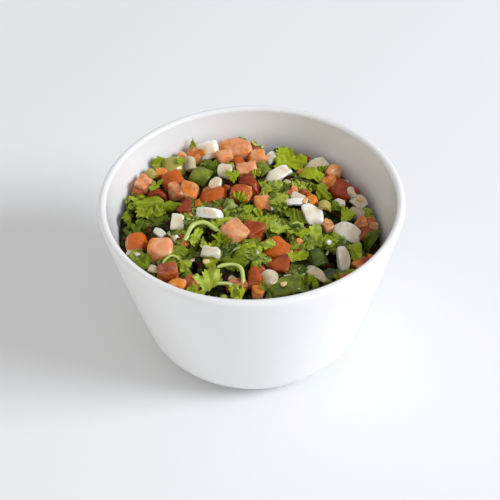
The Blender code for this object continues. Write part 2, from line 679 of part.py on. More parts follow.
def keep_outer_shell(mesh):
    """Drops loose scraps and the walls of sealed hollows, and leaves the one largest shell."""
    bm = bmesh.new()
    bm.from_mesh(mesh)
    left = set(bm.faces)
    shells = []
    while left:
        shell, front = set(), [left.pop()]
        while front:
            face = front.pop()
            shell.add(face)
            near = {other for edge in face.edges for other in edge.link_faces} & left
            left -= near
            front.extend(near)
        shells.append(shell)
    shells.sort(key=len)
    scraps = [face for shell in shells[:-1] for face in shell]
    bmesh.ops.delete(bm, geom=scraps, context="FACES")
    bmesh.ops.triangulate(bm, faces=bm.faces)
    bm.to_mesh(mesh)
    bm.free()


def make_heap():
    """The core and the pieces that show, joined into one solid."""
    core = make_core()
    cuts = bpy.data.collections.new("cut_pieces")
    bpy.context.scene.collection.children.link(cuts)
    for piece in lay_heap():
        shape = new_object(f"{piece.kind}_{piece.number}", SHAPES[piece.kind](piece), cuts)
        shape.matrix_world = piece.place()
    union = core.modifiers.new("join", "BOOLEAN")
    union.operation = "UNION"
    union.operand_type = "COLLECTION"
    union.collection = cuts
    union.solver = "MANIFOLD"
    bpy.context.view_layer.update()
    joined = bpy.data.meshes.new_from_object(core.evaluated_get(bpy.context.evaluated_depsgraph_get()))
    core.modifiers.clear()
    core.data = joined
    for shape in list(cuts.objects):
        bpy.data.objects.remove(shape)
    bpy.data.collections.remove(cuts)
    keep_outer_shell(joined)
    joined.materials.clear()
    joined.materials.append(material("chopped_vegetables", (0.46, 0.26, 0.10), 0.35, 0.3))
    return core


for old in list(bpy.data.objects):
    bpy.data.objects.remove(old)
make_bowl()
make_heap()
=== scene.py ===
"""The looks of pico de gallo in its small white bowl.

Metres, +Z up, with the origin on the table under the middle of the bowl and the viewer on the -Y side.
"""

import math
import random
from dataclasses import dataclass

import bmesh
import bpy
import numpy as np
from mathutils import Matrix, Vector


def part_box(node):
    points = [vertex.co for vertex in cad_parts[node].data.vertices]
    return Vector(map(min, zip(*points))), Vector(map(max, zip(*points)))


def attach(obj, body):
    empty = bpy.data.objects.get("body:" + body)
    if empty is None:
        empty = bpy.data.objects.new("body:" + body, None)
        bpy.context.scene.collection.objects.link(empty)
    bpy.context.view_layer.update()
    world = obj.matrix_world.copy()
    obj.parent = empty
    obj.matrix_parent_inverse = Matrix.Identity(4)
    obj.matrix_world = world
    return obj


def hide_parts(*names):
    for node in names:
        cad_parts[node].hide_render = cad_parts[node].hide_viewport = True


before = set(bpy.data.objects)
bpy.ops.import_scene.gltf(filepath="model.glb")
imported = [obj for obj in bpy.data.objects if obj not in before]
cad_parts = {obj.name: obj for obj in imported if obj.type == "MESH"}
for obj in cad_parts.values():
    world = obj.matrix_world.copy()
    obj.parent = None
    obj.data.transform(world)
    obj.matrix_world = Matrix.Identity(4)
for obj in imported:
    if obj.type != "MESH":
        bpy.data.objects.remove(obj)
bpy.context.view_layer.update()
MM = 0.001


# The bowl. White porcelain, turned as one cone with a rounded lip and a low foot ring, under a clear glaze.
# The ring's underside is wiped before the firing, so that it stays dull and a little darker.
RIM_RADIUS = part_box("bowl")[1].x
BOWL_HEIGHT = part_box("bowl")[1].z
SIDE_RADIUS_AT_TABLE = 38.5 * MM
SIDE_FULLNESS = 0.75 * MM
HEEL_RADIUS = 17 * MM
WALL = 3.2 * MM
FLOOR_THICKNESS = 5 * MM
INNER_HEEL_RISE = 14 * MM
INNER_HEEL_RUN = 10.5 * MM
FOOT_RING_WIDTH = 3.5 * MM
FOOT_RECESS = 1.2 * MM
BOWL_SEGMENTS = 192
PORCELAIN = (0.83, 0.835, 0.835, 1)
BARE_PORCELAIN = (0.62, 0.60, 0.56, 1)


class Wire:
    """An output socket in a material. Sums on it read as Python, and each adds a Math node."""

    def __init__(self, finish, socket):
        self.finish = finish
        self.socket = socket

    def sum_of(self, operation, *terms):
        return self.finish.node("ShaderNodeMath", {"operation": operation}, dict(enumerate(terms)))

    def __add__(self, other):
        return self.sum_of("ADD", self, other)

    def __sub__(self, other):
        return self.sum_of("SUBTRACT", self, other)

    def __rsub__(self, other):
        return self.sum_of("SUBTRACT", other, self)

    def __mul__(self, other):
        return self.sum_of("MULTIPLY", self, other)

    __radd__ = __add__
    __rmul__ = __mul__

    def sine(self):
        return self.sum_of("SINE", self)

    def step(self, low, high):
        """0 below low, 1 above high, and smooth between them."""
        spans = {"Value": self, "From Min": low, "From Max": high}
        return self.finish.node("ShaderNodeMapRange", {"interpolation_type": "SMOOTHSTEP"}, spans)


class Finish:
    """A material in the making, and the one way of adding a node to it."""

    def __init__(self, name):
        self.material = bpy.data.materials.new(name)
        self.material.use_nodes = True
        self.tree = self.material.node_tree
        self.shader = self.tree.nodes["Principled BSDF"]

    def join(self, value, socket):
        if isinstance(value, Wire):
            self.tree.links.new(value.socket, socket)
        else:
            socket.default_value = value

    def node(self, kind, settings, sockets, output=0):
        """Adds a node, its settings first, then the values or wires of its sockets, and gives an output."""
        made = self.tree.nodes.new(kind)
        for name, value in settings.items():
            setattr(made, name, value)
        for key, value in sockets.items():
            self.join(value, made.inputs[key])
        return Wire(self, made.outputs[output])

    def mixed(self, first, second, share):
        """The colour between two, by a share from 0 to 1."""
        return self.node("ShaderNodeMix", {"data_type": "RGBA"}, {0: share, 6: first, 7: second}, 2)

    def place(self):
        return self.node("ShaderNodeTexCoord", {}, {}, "Object")

    def noise(self, size, detail=2):
        """Cloudy noise from 0 to 1, in lumps of about that size."""
        sockets = {"Vector": self.place(), "Scale": 1 / size, "Detail": detail}
        return self.node("ShaderNodeTexNoise", {}, sockets, "Fac")

    def value(self, name):
        """A value that the mesh holds at each point."""
        return self.node("ShaderNodeAttribute", {"attribute_name": name}, {}, "Fac")

    def relief(self, height, depth):
        """A normal from a height of 0 to 1 that stands for that depth."""
        return self.node("ShaderNodeBump", {}, {"Height": height, "Distance": depth})

    def wear(self, sockets):
        for name, value in sockets.items():
            self.join(value, self.shader.inputs[name])


def dress(piece, finish):
    """Gives a piece its finish, and lets it ride on the one body."""
    piece.data.materials.clear()
    piece.data.materials.append(finish.material)
    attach(piece, "root")


def new_piece(name, mesh):
    piece = bpy.data.objects.new(name, mesh)
    bpy.context.scene.collection.objects.link(piece)
    return piece


def outer_radius(z):
    """The bowl's outside radius at height z, above the heel."""
    share = z / (BOWL_HEIGHT - WALL / 2)
    slant = (RIM_RADIUS - SIDE_RADIUS_AT_TABLE) * share
    return SIDE_RADIUS_AT_TABLE + slant + SIDE_FULLNESS * 4 * share * (1 - share)


def arc(centre, radius, start, end, steps):
    """Points (r, z) along an arc of the profile, angles in degrees."""
    angles = (math.radians(start + (end - start) * i / steps) for i in range(steps + 1))
    return [(centre[0] + radius * math.cos(a), centre[1] + radius * math.sin(a)) for a in angles]


def inner_profile(round_steps, side_steps):
    """The inside wall as (r, z), from the floor up over the round of the inner heel to the lip."""
    points = []
    for i in range(round_steps + 1):
        turn = math.pi / 2 * i / round_steps
        z = FLOOR_THICKNESS + INNER_HEEL_RISE * (1 - math.cos(turn))
        points.append((outer_radius(z) - WALL - INNER_HEEL_RUN * (1 - math.sin(turn)), z))
    inner_bottom, lip = points[-1][1], BOWL_HEIGHT - WALL / 2
    heights = [inner_bottom + (lip - inner_bottom) * i / side_steps for i in range(1, side_steps)]
    return points + [(outer_radius(z) - WALL, z) for z in heights]


def bowl_profile():
    """The bowl's half section as (r, z), from the middle of the underside to the middle of the floor."""
    slant = math.degrees(math.atan2(RIM_RADIUS - SIDE_RADIUS_AT_TABLE, BOWL_HEIGHT))
    heel_top = HEEL_RADIUS * (1 - math.sin(math.radians(slant)))
    heel_centre = outer_radius(heel_top) - HEEL_RADIUS * math.cos(math.radians(slant))
    ring_inside = heel_centre - FOOT_RING_WIDTH
    points = [(0, FOOT_RECESS), (ring_inside - FOOT_RECESS, FOOT_RECESS), (ring_inside, 0)]
    points += arc((heel_centre, HEEL_RADIUS), HEEL_RADIUS, -90, -slant, 18)
    lip = (RIM_RADIUS - WALL / 2, BOWL_HEIGHT - WALL / 2)
    heights = [heel_top + (lip[1] - heel_top) * i / 16 for i in range(1, 16)]
    points += [(outer_radius(z), z) for z in heights]
    points += arc(lip, WALL / 2, 0, 180, 14)
    return points + inner_profile(12, 12)[::-1] + [(0, FLOOR_THICKNESS)]


def turned(name, profile, segments):
    """A solid turned from its half section, which runs from the axis round to the axis."""
    angles = [math.tau * i / segments for i in range(segments)]
    rings = profile[1:-1]
    points = [(r * math.cos(a), r * math.sin(a), z) for r, z in rings for a in angles]
    points += [(0, 0, profile[0][1]), (0, 0, profile[-1][1])]
    below, above = len(points) - 2, len(points) - 1
    last = (len(rings) - 1) * segments
    faces = []
    for i in range(segments):
        j = (i + 1) % segments
        faces += [(below, j, i), (above, last + i, last + j)]
        for start in range(0, last, segments):
            faces.append((start + i, start + j, start + segments + j, start + segments + i))
    mesh = bpy.data.meshes.new(name)
    mesh.from_pydata(points, [], faces)
    mesh.shade_smooth()
    mesh.set_sharp_from_angle(angle=math.radians(40))
    return new_piece(name, mesh)


def glaze():
    """Clear glaze over white porcelain: almost even, with the faintest waves, and bare under the foot."""
    made = Finish("glazed_porcelain")
    height = made.node("ShaderNodeSeparateXYZ", {}, {0: made.place()}, "Z")
    glazed = height.step(0.15 * MM, 0.5 * MM)
    cloud = made.noise(18 * MM)
    white = made.mixed(PORCELAIN, (0.86, 0.865, 0.865, 1), cloud)
    waves = made.noise(7 * MM) + 0.15 * made.noise(0.8 * MM)
    made.wear({
        "Base Color": made.mixed(BARE_PORCELAIN, white, glazed),
        "Roughness": 0.7 - 0.48 * glazed + 0.05 * cloud,
        "Coat Weight": 0.35 * glazed,
        "Coat Roughness": 0.06,
        "Normal": made.relief(waves, 0.05 * MM),
    })
    return made


bowl = turned("porcelain_bowl", bowl_profile(), BOWL_SEGMENTS)
dress(bowl, glaze())
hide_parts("bowl")


# How the heap lies. The vegetables are cut by hand, stirred and tipped in, so each piece comes to rest on
# those below it: the ones that show most first, then more wherever the heap is still low.
LEVEL_AT_WALL = 52.5 * MM
DOME_RISE = 6 * MM
SLOPE_RISE = 4.5 * MM
SLOPE_HEADING = math.radians(140)
HEAP_RADIUS = 50 * MM
HEAP_TOP = 63.5 * MM
CORE_DEPTH = 3.8 * MM
CORE_BUMP = 0.8 * MM
WALL_GAP = 0.6 * MM
CELL = 1 * MM
TIGHT = 0.05 * MM
DICE_REACH = 0.93
LEAF_REACH = 0.55
LEAF_COVER = 0.42
DICE_COVER = 0.82
MAIN_REST_SHARE = 0.75
FILL_REST_SHARE = 0.6
FILL_RISE = 0.5 * MM
FIRST_FILL_NUMBER = 1011
FILL_TRIES = 1200
FILL_LACK = 2 * MM
FILL_SPREAD = 16
FILL_LIGHTEST = 0.95
MOST_CLAIMED = 0.25

# How the viewer sees the heap: the eye's distance from the bowl's middle and its height in degrees, how far
# the picture is turned, its middle and focal length in its own pixels, and the enlarged part with the heap
EYE_DISTANCE = 650 * MM
EYE_ELEVATION = math.radians(42.6)
PICTURE_TURN = math.radians(-1.45)
PICTURE_MIDDLE = (252.7, 264.7)
PICTURE_FOCAL = 1693.3
ENLARGED_FROM = (120, 125)
ENLARGED_BY = 5.926
PLACING_ROUNDS = 4
MOVE_SHARE = 0.7
FIRST_REACH = 47 * MM
FARTHEST_REACH = 49 * MM

# In the order laid: where the middle is seen in the enlarged picture, across and down, read off; in
# millimetres and degrees the length, width, thickness, heading, lean towards the viewer, roll to the right,
# and how far the top may stand over the heap's level; how light it is, and a share for its own section
# How light a piece is partly paints the shade that falls on it, down to below zero for a piece deep in
# shade.
MAIN_PIECES = (
    # At the back, under the wall
    ("tomato", 368, 190, 5, 4, 4, 20, 10, 0, 1.0, 0.80, 0.3),
    ("tomato", 805, 200, 7, 7, 6, 10, 0, 10, 1.4, 0.95, 0),
    ("onion", 895, 190, 6, 4, 3, 40, 15, 0, 1.0, 0.80, 0.3),
    ("tomato", 955, 182, 5, 4, 4, 20, 0, 0, 1.0, 0.15, 0.8),
    ("tomato", 1088, 212, 3, 4.5, 6, 60, 0, 10, 1.2, 0.05, 1),
    ("chilli", 850, 262, 6, 6, 4, 30, 10, 0, 1.2, 0.45, 0.1),
    ("tomato", 460, 178, 8.5, 7, 6, 25, 10, -10, 2.2, 0.50, 0.35),
    ("onion", 505, 140, 11, 8, 5, 12, 45, 0, 4.6, 0.95, 0.35),
    ("tomato", 690, 155, 14, 10, 8, 8, 8, 0, 3.0, 0.72, 0),
    ("tomato", 622, 195, 7, 6, 6, 15, 5, 0, 1.6, 0.85, 0),
    ("leaf", 425, 112, 8, 2.5, 1.5, 80, 65, 0, 6.0, 0.60, 0),
    ("leaf", 718, 66, 5, 6, 2, 20, 60, 0, 6.0, 0.75, 0.1),
    ("onion", 412, 240, 5.5, 7, 5, 10, 15, 0, 2.0, 0.45, 0.85),
    ("leaf", 545, 250, 9.5, 9, 3, 30, 25, 0, 1.8, 0.30, 0),
    ("tomato", 752, 272, 8.5, 6.5, 6, 5, 15, 0, 2.4, 0.70, 0),
    ("tomato", 705, 220, 4, 4, 3, 20, 35, 0, 3.2, 0.55, 1),
    ("leaf", 812, 305, 3.5, 3.5, 1.5, 70, 20, 0, 2.0, 1.00, 0.1),
    # At the back on the right
    ("leaf", 1275, 245, 6, 4, 2, 140, 40, 20, 1.4, 0.15, 0),
    ("onion", 1180, 228, 10, 6, 4.5, 28, 20, 0, 2.2, 0.80, 0.55),
    ("leaf", 1205, 262, 4.5, 5, 2, 60, 30, 0, 2.4, 0.70, 0.1),
    ("tomato", 1262, 285, 6, 6, 6, 10, 10, 0, 2.6, 0.85, 0),
    ("tomato", 1235, 352, 7, 6.5, 6, 20, 10, 0, 1.6, 0.50, 0),
    ("tomato", 1350, 388, 12.5, 10, 7, 22, 15, 0, 2.6, 0.22, 0.75),
    ("onion", 1372, 405, 3, 5.5, 2, 20, 30, 0, 3.0, 0.70, 0.5),
    ("leaf", 1000, 215, 15, 13, 3.5, 350, 25, 0, 2.8, 0.85, 0.1),
    ("leaf", 1145, 300, 13, 8, 3, 170, 15, 0, 2.6, 0.85, 0.1),
    ("onion", 925, 303, 13.5, 5.5, 4.2, 36, 15, 0, 3.4, 0.85, 0.25),
    ("leaf", 975, 365, 8.5, 4, 1.5, 45, 25, 0, 2.2, 0.95, 0),
    # On the left
    ("leaf", 50, 540, 14, 5, 2.5, 82, 0, 60, 1.8, 0.40, 0),
    ("leaf", 110, 615, 8, 9, 3, 80, 30, 30, 0.6, 0.30, 0),
    ("tomato", 90, 398, 6, 5, 5, 68, 0, 8, 0.8, 0.25, 0.4),
    ("tomato", 118, 350, 8, 6.5, 6, 66, 0, 8, 3.0, 0.68, 0.2),
    ("tomato", 248, 292, 5, 4.5, 4.5, 5, 5, 0, 1.8, 0.85, 0),
    ("leaf", 212, 212, 11, 8, 2, 60, 40, 50, 8.0, 0.60, 0.1),
    ("chilli", 182, 300, 5, 4.5, 4.5, 30, 10, 0, 2.2, 1.00, 1),
    ("chilli", 312, 248, 10, 9, 4.5, 5, 25, 0, 2.6, 0.90, 0.85),
    ("leaf", 355, 212, 4.5, 3, 1.5, 0, 20, 0, 3.4, 0.75, 0),
    ("tomato", 215, 412, 8, 5, 5, 0, 0, 0, 0.6, 0.10, 0.8),
    ("tomato", 315, 332, 9.5, 7.5, 6, 20, 20, -5, 2.8, 0.60, 1),
    ("tomato", 340, 395, 8, 7, 6, 10, 10, 0, 1.8, 0.42, 0),
    ("tomato", 405, 395, 8.5, 8.5, 7, -15, 15, 10, 2.4, 0.55, 0.1),
    ("tomato", 375, 490, 6, 8, 6, 5, 10, 0, 0.6, -0.10, 0.5),
    ("leaf", 205, 360, 9, 3.5, 1.5, 38, 20, 0, 3.0, 0.60, 0.2),
    ("leaf", 205, 572, 13, 14, 4, -25, 40, 0, 1.8, 0.22, 0.2),
    ("leaf", 225, 478, 19, 10, 4, 8, 20, 0, 3.0, 0.55, 0.1),
    ("onion", 335, 588, 8.5, 6, 4.5, 84, 35, 0, 2.2, 0.90, 0.5),
    ("tomato", 82, 712, 9, 8.5, 8, 10, 15, 15, 2.0, 0.80, 0.9),
    ("tomato", 235, 740, 11, 10, 8, 5, 20, 0, 2.8, 1.00, 0),
    # In the middle
    ("tomato", 760, 382, 3.5, 3, 3, 0, 0, 0, 1.6, 1.00, 0),
    ("onion", 562, 348, 6, 5, 4, 70, 20, 0, 1.4, 0.75, 0.4),
    ("onion", 620, 278, 6, 6.5, 4, 75, 20, 0, 2.2, 0.80, 0.5),
    ("chilli", 475, 305, 9, 8, 4.5, 60, 30, 0, 2.4, 0.42, 0),
    ("leaf", 668, 292, 6.5, 5.5, 2, 150, 20, 0, 2.8, 0.95, 0.1),
    ("tomato", 778, 362, 11, 4.5, 6, -42, 20, 10, 1.8, 0.15, 1),
    ("stem", 858, 390, 6, 2, 2, 100, 15, 0, 2.8, 1.00, 0.9),
    ("tomato", 712, 412, 9, 8, 6, -10, 15, 0, 1.8, 0.45, 0.6),
    ("leaf", 716, 420, 5.5, 6, 2, 60, 20, 0, 2.6, 0.70, 0),
    ("tomato", 552, 440, 12, 11, 8, -20, 25, 5, 3.0, 0.65, 0.85),
    ("onion", 535, 530, 11, 5.5, 4.2, -8, 40, 0, 3.2, 1.00, 0.05),
    ("leaf", 720, 480, 9, 3.5, 2, 5, 20, 0, 1.0, 0.30, 0),
    ("tomato", 850, 492, 8.5, 9.5, 8, 5, 15, 0, 2.4, 0.78, 0),
    ("leaf", 815, 530, 6, 5, 2, 120, 30, 0, 2.2, 0.60, 0),
    ("leaf", 928, 545, 6, 9, 3, 80, 20, 0, 1.4, 0.12, 0),
    ("leaf", 470, 580, 13, 5, 3, 15, 15, 0, 1.2, 0.30, 0),
    ("leaf", 590, 575, 13, 4.5, 2, 20, 20, 0, 2.4, 0.95, 0.7),
    ("tomato", 790, 636, 10, 8.5, 7, -15, 15, 0, 2.0, 0.22, 0.6),
    ("tomato", 680, 650, 10, 10.5, 9, 40, 15, 0, 3.0, 0.72, 0.1),
    ("leaf", 885, 655, 6, 5, 2, 160, 15, 0, 1.4, 0.22, 0),
    ("leaf", 940, 622, 9.5, 5.5, 2, 5, 15, 0, 2.2, 0.80, 0.9),
    # On the right
    ("tomato", 1450, 655, 5, 6, 5, 0, 0, 0, 0.4, 0.20, 0.6),
    ("onion", 1045, 425, 7, 4, 3, 0, 15, 0, 1.6, 0.75, 0.4),
    ("leaf", 1050, 350, 5, 5, 2, 90, 20, 0, 1.8, 1.00, 1),
    ("leaf", 1190, 400, 10, 9, 3, 320, 20, 0, 2.2, 0.50, 0),
    ("onion", 1300, 465, 5, 4, 3, 10, 20, 0, 1.0, 0.90, 0.2),
    ("onion", 1415, 455, 6.5, 5.5, 3, 130, 25, 0, 2.2, 0.75, 0.5),
    ("onion", 1400, 530, 5.5, 6.5, 4, 70, 20, 0, 1.4, 0.10, 1),
    ("tomato", 1425, 590, 6, 6, 6, 0, 10, 0, 1.8, 0.45, 0),
    ("leaf", 1265, 490, 5, 7, 3, 75, 20, 0, 1.6, 0.35, 0.1),
    ("leaf", 1335, 535, 8, 8, 3, 235, 25, 0, 2.4, 0.75, 0.1),
    ("chilli", 1205, 480, 5.5, 4, 4, -5, 5, 0, 2.4, 1.00, 1),
    ("onion", 1025, 465, 8.5, 3, 2.5, 0, 25, 0, 2.4, 1.00, 0.05),
    ("leaf", 1045, 565, 12, 12.5, 3.5, 255, 30, 0, 2.2, 0.38, 0),
    ("onion", 1145, 543, 11.5, 8, 4, -62, 30, 15, 3.2, 1.00, 0.1),
    ("tomato", 1135, 450, 4, 4.5, 3, -60, 10, 0, 3.4, 1.00, 0),
    ("tomato", 1228, 602, 4, 4.5, 3.5, 30, 20, 0, 1.8, 0.60, 0.1),
    ("leaf", 1160, 655, 10, 9, 3, 320, 20, 0, 2.0, 1.00, 1),
    ("onion", 1350, 640, 12, 8.5, 5.5, -20, 25, 8, 3.0, 0.95, 0.1),
    ("leaf", 1520, 665, 13, 6.5, 2, 40, 20, -35, 8.0, 0.22, 0),
    ("leaf", 1385, 750, 8.5, 9.5, 3, 290, 30, 0, 2.2, 0.95, 0.4),
    ("onion", 1325, 790, 11.5, 5.5, 3, 105, 30, 20, 2.8, 0.80, 0.35),
    # On the near side
    ("leaf", 150, 830, 12, 7, 3, -38, 15, 0, 0.8, 0.45, 0),
    ("onion", 195, 868, 5, 3, 2, -20, 10, 0, 1.2, 0.30, 0.9),
    ("leaf", 415, 760, 12, 7, 4, 92, 35, 25, 0.8, 0.25, 0),
    ("tomato", 420, 940, 6, 6, 5, 10, 0, 0, 0.4, 0.12, 0.3),
    ("tomato", 285, 875, 8.5, 6.5, 6, 0, 5, 0, 1.8, 0.12, 0.2),
    ("tomato", 335, 943, 7.5, 5, 4.5, -18, 5, 0, 1.6, 1.00, 0),
    ("tomato", 930, 835, 9.5, 8, 6, 0, 10, 0, -0.8, -0.30, 0),
    ("leaf", 440, 665, 10, 6, 3, 60, 25, 15, 1.6, 0.95, 0.8),
    ("leaf", 600, 680, 6, 9, 3, 80, 20, 20, 1.8, 0.60, 0),
    ("stem", 480, 622, 15, 8, 2.4, 12, 15, 0, 3.0, 0.85, 0.4),
    ("leaf", 555, 800, 11, 6, 3, 20, 15, 0, 1.4, 1.00, 0.2),
    ("leaf", 700, 820, 13, 11.5, 3.5, 195, 25, 0, 2.0, 0.35, 0),
    ("leaf", 505, 725, 5.5, 5, 2, 100, 20, 0, 2.2, 1.00, 0.8),
    ("onion", 545, 760, 8, 4.5, 3, -12, 20, 0, 2.6, 0.75, 0.45),
    ("tomato", 690, 950, 8, 6, 4, 20, 5, 0, 0.8, 0.30, 0),
    ("leaf", 540, 930, 13, 13, 4, 80, 30, 0, 1.8, 1.00, 0.9),
    ("stem", 670, 870, 13.5, 6.5, 2.2, -38, 15, 0, 3.0, 0.90, 0.4),
    ("stem", 640, 948, 10, 3, 2, -20, 15, 0, 2.4, 0.85, 0.6),
    ("leaf", 700, 1000, 7, 6, 3, 20, 20, 0, 1.8, 1.00, 0.3),
    ("tomato", 815, 990, 5, 5, 5, 0, 0, 0, 0.8, 0.80, 0),
    ("tomato", 808, 905, 6.5, 9, 8, -5, 5, 0, 2.2, 0.40, 1),
    ("onion", 890, 915, 7.5, 7.5, 5, 20, 15, 0, 2.6, 0.60, 0.7),
    ("leaf", 852, 955, 4, 3.5, 1.5, 100, 20, 0, 3.0, 0.40, 0),
    ("tomato", 930, 730, 15, 9.5, 4.5, 12, 30, 5, 2.8, 0.72, 1),
    ("leaf", 868, 720, 8.5, 5.5, 2, 170, 20, 0, 3.8, 0.80, 0.9),
    ("chilli", 1160, 795, 8.5, 8, 5, 20, 15, 0, 0.0, 0.20, 0),
    ("leaf", 1050, 785, 9, 6.5, 2.5, 25, 30, 0, 1.6, 0.70, 0),
    ("leaf", 1105, 722, 7, 2.5, 2, 75, 20, 0, 2.0, 0.45, 0.1),
    ("chilli", 1255, 885, 10, 5, 3, 20, 10, 0, -1.0, 0.15, 0.1),
    ("onion", 1165, 892, 10, 4.5, 3, -38, 15, 0, 1.2, 0.40, 0.9),
    ("chilli", 1005, 958, 17, 7.5, 4.5, 14, 15, 0, 2.8, 0.42, 0.1),
    ("leaf", 1125, 925, 7, 6, 2, 200, 15, 0, 2.6, 0.65, 0),
)

# Where the heap stays lower, so that a spoon has room: two corners on the plan, and the height
LOW_ROOFS = (
    (-38, -38, 38, 38, 61.3),
    (7, -31, 41, 29, 57.1),
)

# Deep gaps that stay open between the pieces, and a low place under the far wall: x, y, radius
HOLLOWS = (
    (28.0, -15.5, 5.5),
    (-17.0, -6.5, 3.5),
    (-22.0, -22.5, 4.0),
    (8.0, 46.0, 5.5),
)

# What the rest is filled with: kind, share, then shortest and longest length, width and thickness
FILL_KINDS = (
    ("tomato", 0.26, (4, 8), (4, 7), (4, 6.5)),
    ("onion", 0.09, (4, 7), (3, 5.5), (2.2, 3.5)),
    ("leaf", 0.51, (7, 12), (6, 10), (2.5, 3.5)),
    ("chilli", 0.07, (4, 8), (4, 6), (3, 4)),
    ("stem", 0.07, (7, 13), (2, 5), (1.8, 2)),
)

# What the last gaps are filled with, in small bits
FIRST_DEEP_NUMBER = 5000
DEEP_TRIES = 2600
DEEP_LACK = 1.4 * MM
DEEP_RISE = -1.3 * MM
DEEP_SPREAD = 20
# The lightest the deep bits may be, a little under the rest: painted shade low in the gaps.
DEEP_LIGHTEST_IN_SHADE = 0.9
DEEP_CLAIMED = 0.6
FIRST_SMALL_NUMBER = 12000
SMALL_TRIES = 4000
SMALL_LACK = 1.4 * MM
SMALL_RISE = 0.8 * MM
SMALL_SPREAD = 30
SMALL_CLAIMED = 0.3
SMALL_KINDS = (
    ("tomato", 0.20, (2.5, 5.5), (2.5, 4.5), (2.5, 4)),
    ("onion", 0.06, (2.5, 5), (2, 4), (1.2, 2.5)),
    ("shred", 0.64, (5, 10), (4, 8), (1.5, 2.5)),
    ("stem", 0.10, (5, 10), (1.4, 4), (1.0, 1.5)),
)

# The loose seeds on top, in millimetres and degrees: x, y, heading and how orange each one is
SEEDS = (
    (11.0, -33.0, 30, 0.4),
    (28.0, 0.5, 100, 0.9),
    (41.5, 15.0, -50, 0.6),
    (-17.0, -22.0, 10, 0.3),
    (20.5, 11.0, 60, 0.5),
)
SEED_SIZE = (2.7 * MM, 2.0 * MM, 0.9 * MM)
SEED_LEAN = 15
SEED_RISE = 4 * MM


@dataclass
class Piece:
    """One cut piece: its box, its place on the plan, how it is turned, its looks and how high it rests."""

    kind: str
    number: int
    x: float
    y: float
    size: tuple
    turns: tuple
    rise: float
    tone: float
    share: float
    z: float = 0.0
    ground: np.ndarray = None

    def lattice(self, counts=(7, 7, 4), leaf_reach=LEAF_REACH, dice_reach=DICE_REACH):
        """Points spread through the piece's form, about its own middle."""
        steps = [np.linspace(-0.5, 0.5, count) for count in counts]
        points = np.stack(np.meshgrid(*steps, indexing="ij"), -1).reshape(-1, 3)
        if self.kind in ("leaf", "shred"):
            points = points[np.hypot(points[:, 0], points[:, 1]) < leaf_reach]
        elif self.kind != "stem":
            points = points * dice_reach
        return points * np.array(self.size)

    def turned(self):
        heading, lean, roll = (math.radians(angle) for angle in self.turns)
        leaning = Matrix.Rotation(roll, 3, "Y") @ Matrix.Rotation(lean, 3, "X")
        return leaning @ Matrix.Rotation(heading, 3, "Z")

    def placed(self, points):
        """Points of the piece's own box, where the piece lies in the bowl."""
        return points @ np.array(self.turned()).T + np.array((self.x, self.y, self.z))

    def dice(self):
        """The piece's own seeded draws, for its corners, which don't depend on the order of the build."""
        return random.Random(self.number)

    def more_dice(self):
        """A second run of the piece's own draws, for the rest of its shape."""
        return random.Random(self.number + 0.5)


def inner_radius(z):
    """The bowl's inside radius at height z."""
    radii, heights = zip(*inner_profile(5, 4), (RIM_RADIUS - WALL, BOWL_HEIGHT - WALL / 2))
    return np.interp(z, heights, radii)


def heap_level(x, y):
    """The finished level of the heap over a point of the plan."""
    uphill = (x * math.cos(SLOPE_HEADING) + y * math.sin(SLOPE_HEADING)) / HEAP_RADIUS
    dome = 1 - (x**2 + y**2) / HEAP_RADIUS**2
    return LEVEL_AT_WALL + SLOPE_RISE * uphill + DOME_RISE * dome


def core_level(x, y):
    """The uneven top of the core, under the pieces."""
    bump = np.sin(x / (5 * MM)) * np.cos(y / (6 * MM)) + 0.5 * np.sin((x + y) / (3.5 * MM))
    return heap_level(x, y) - CORE_DEPTH + CORE_BUMP * bump


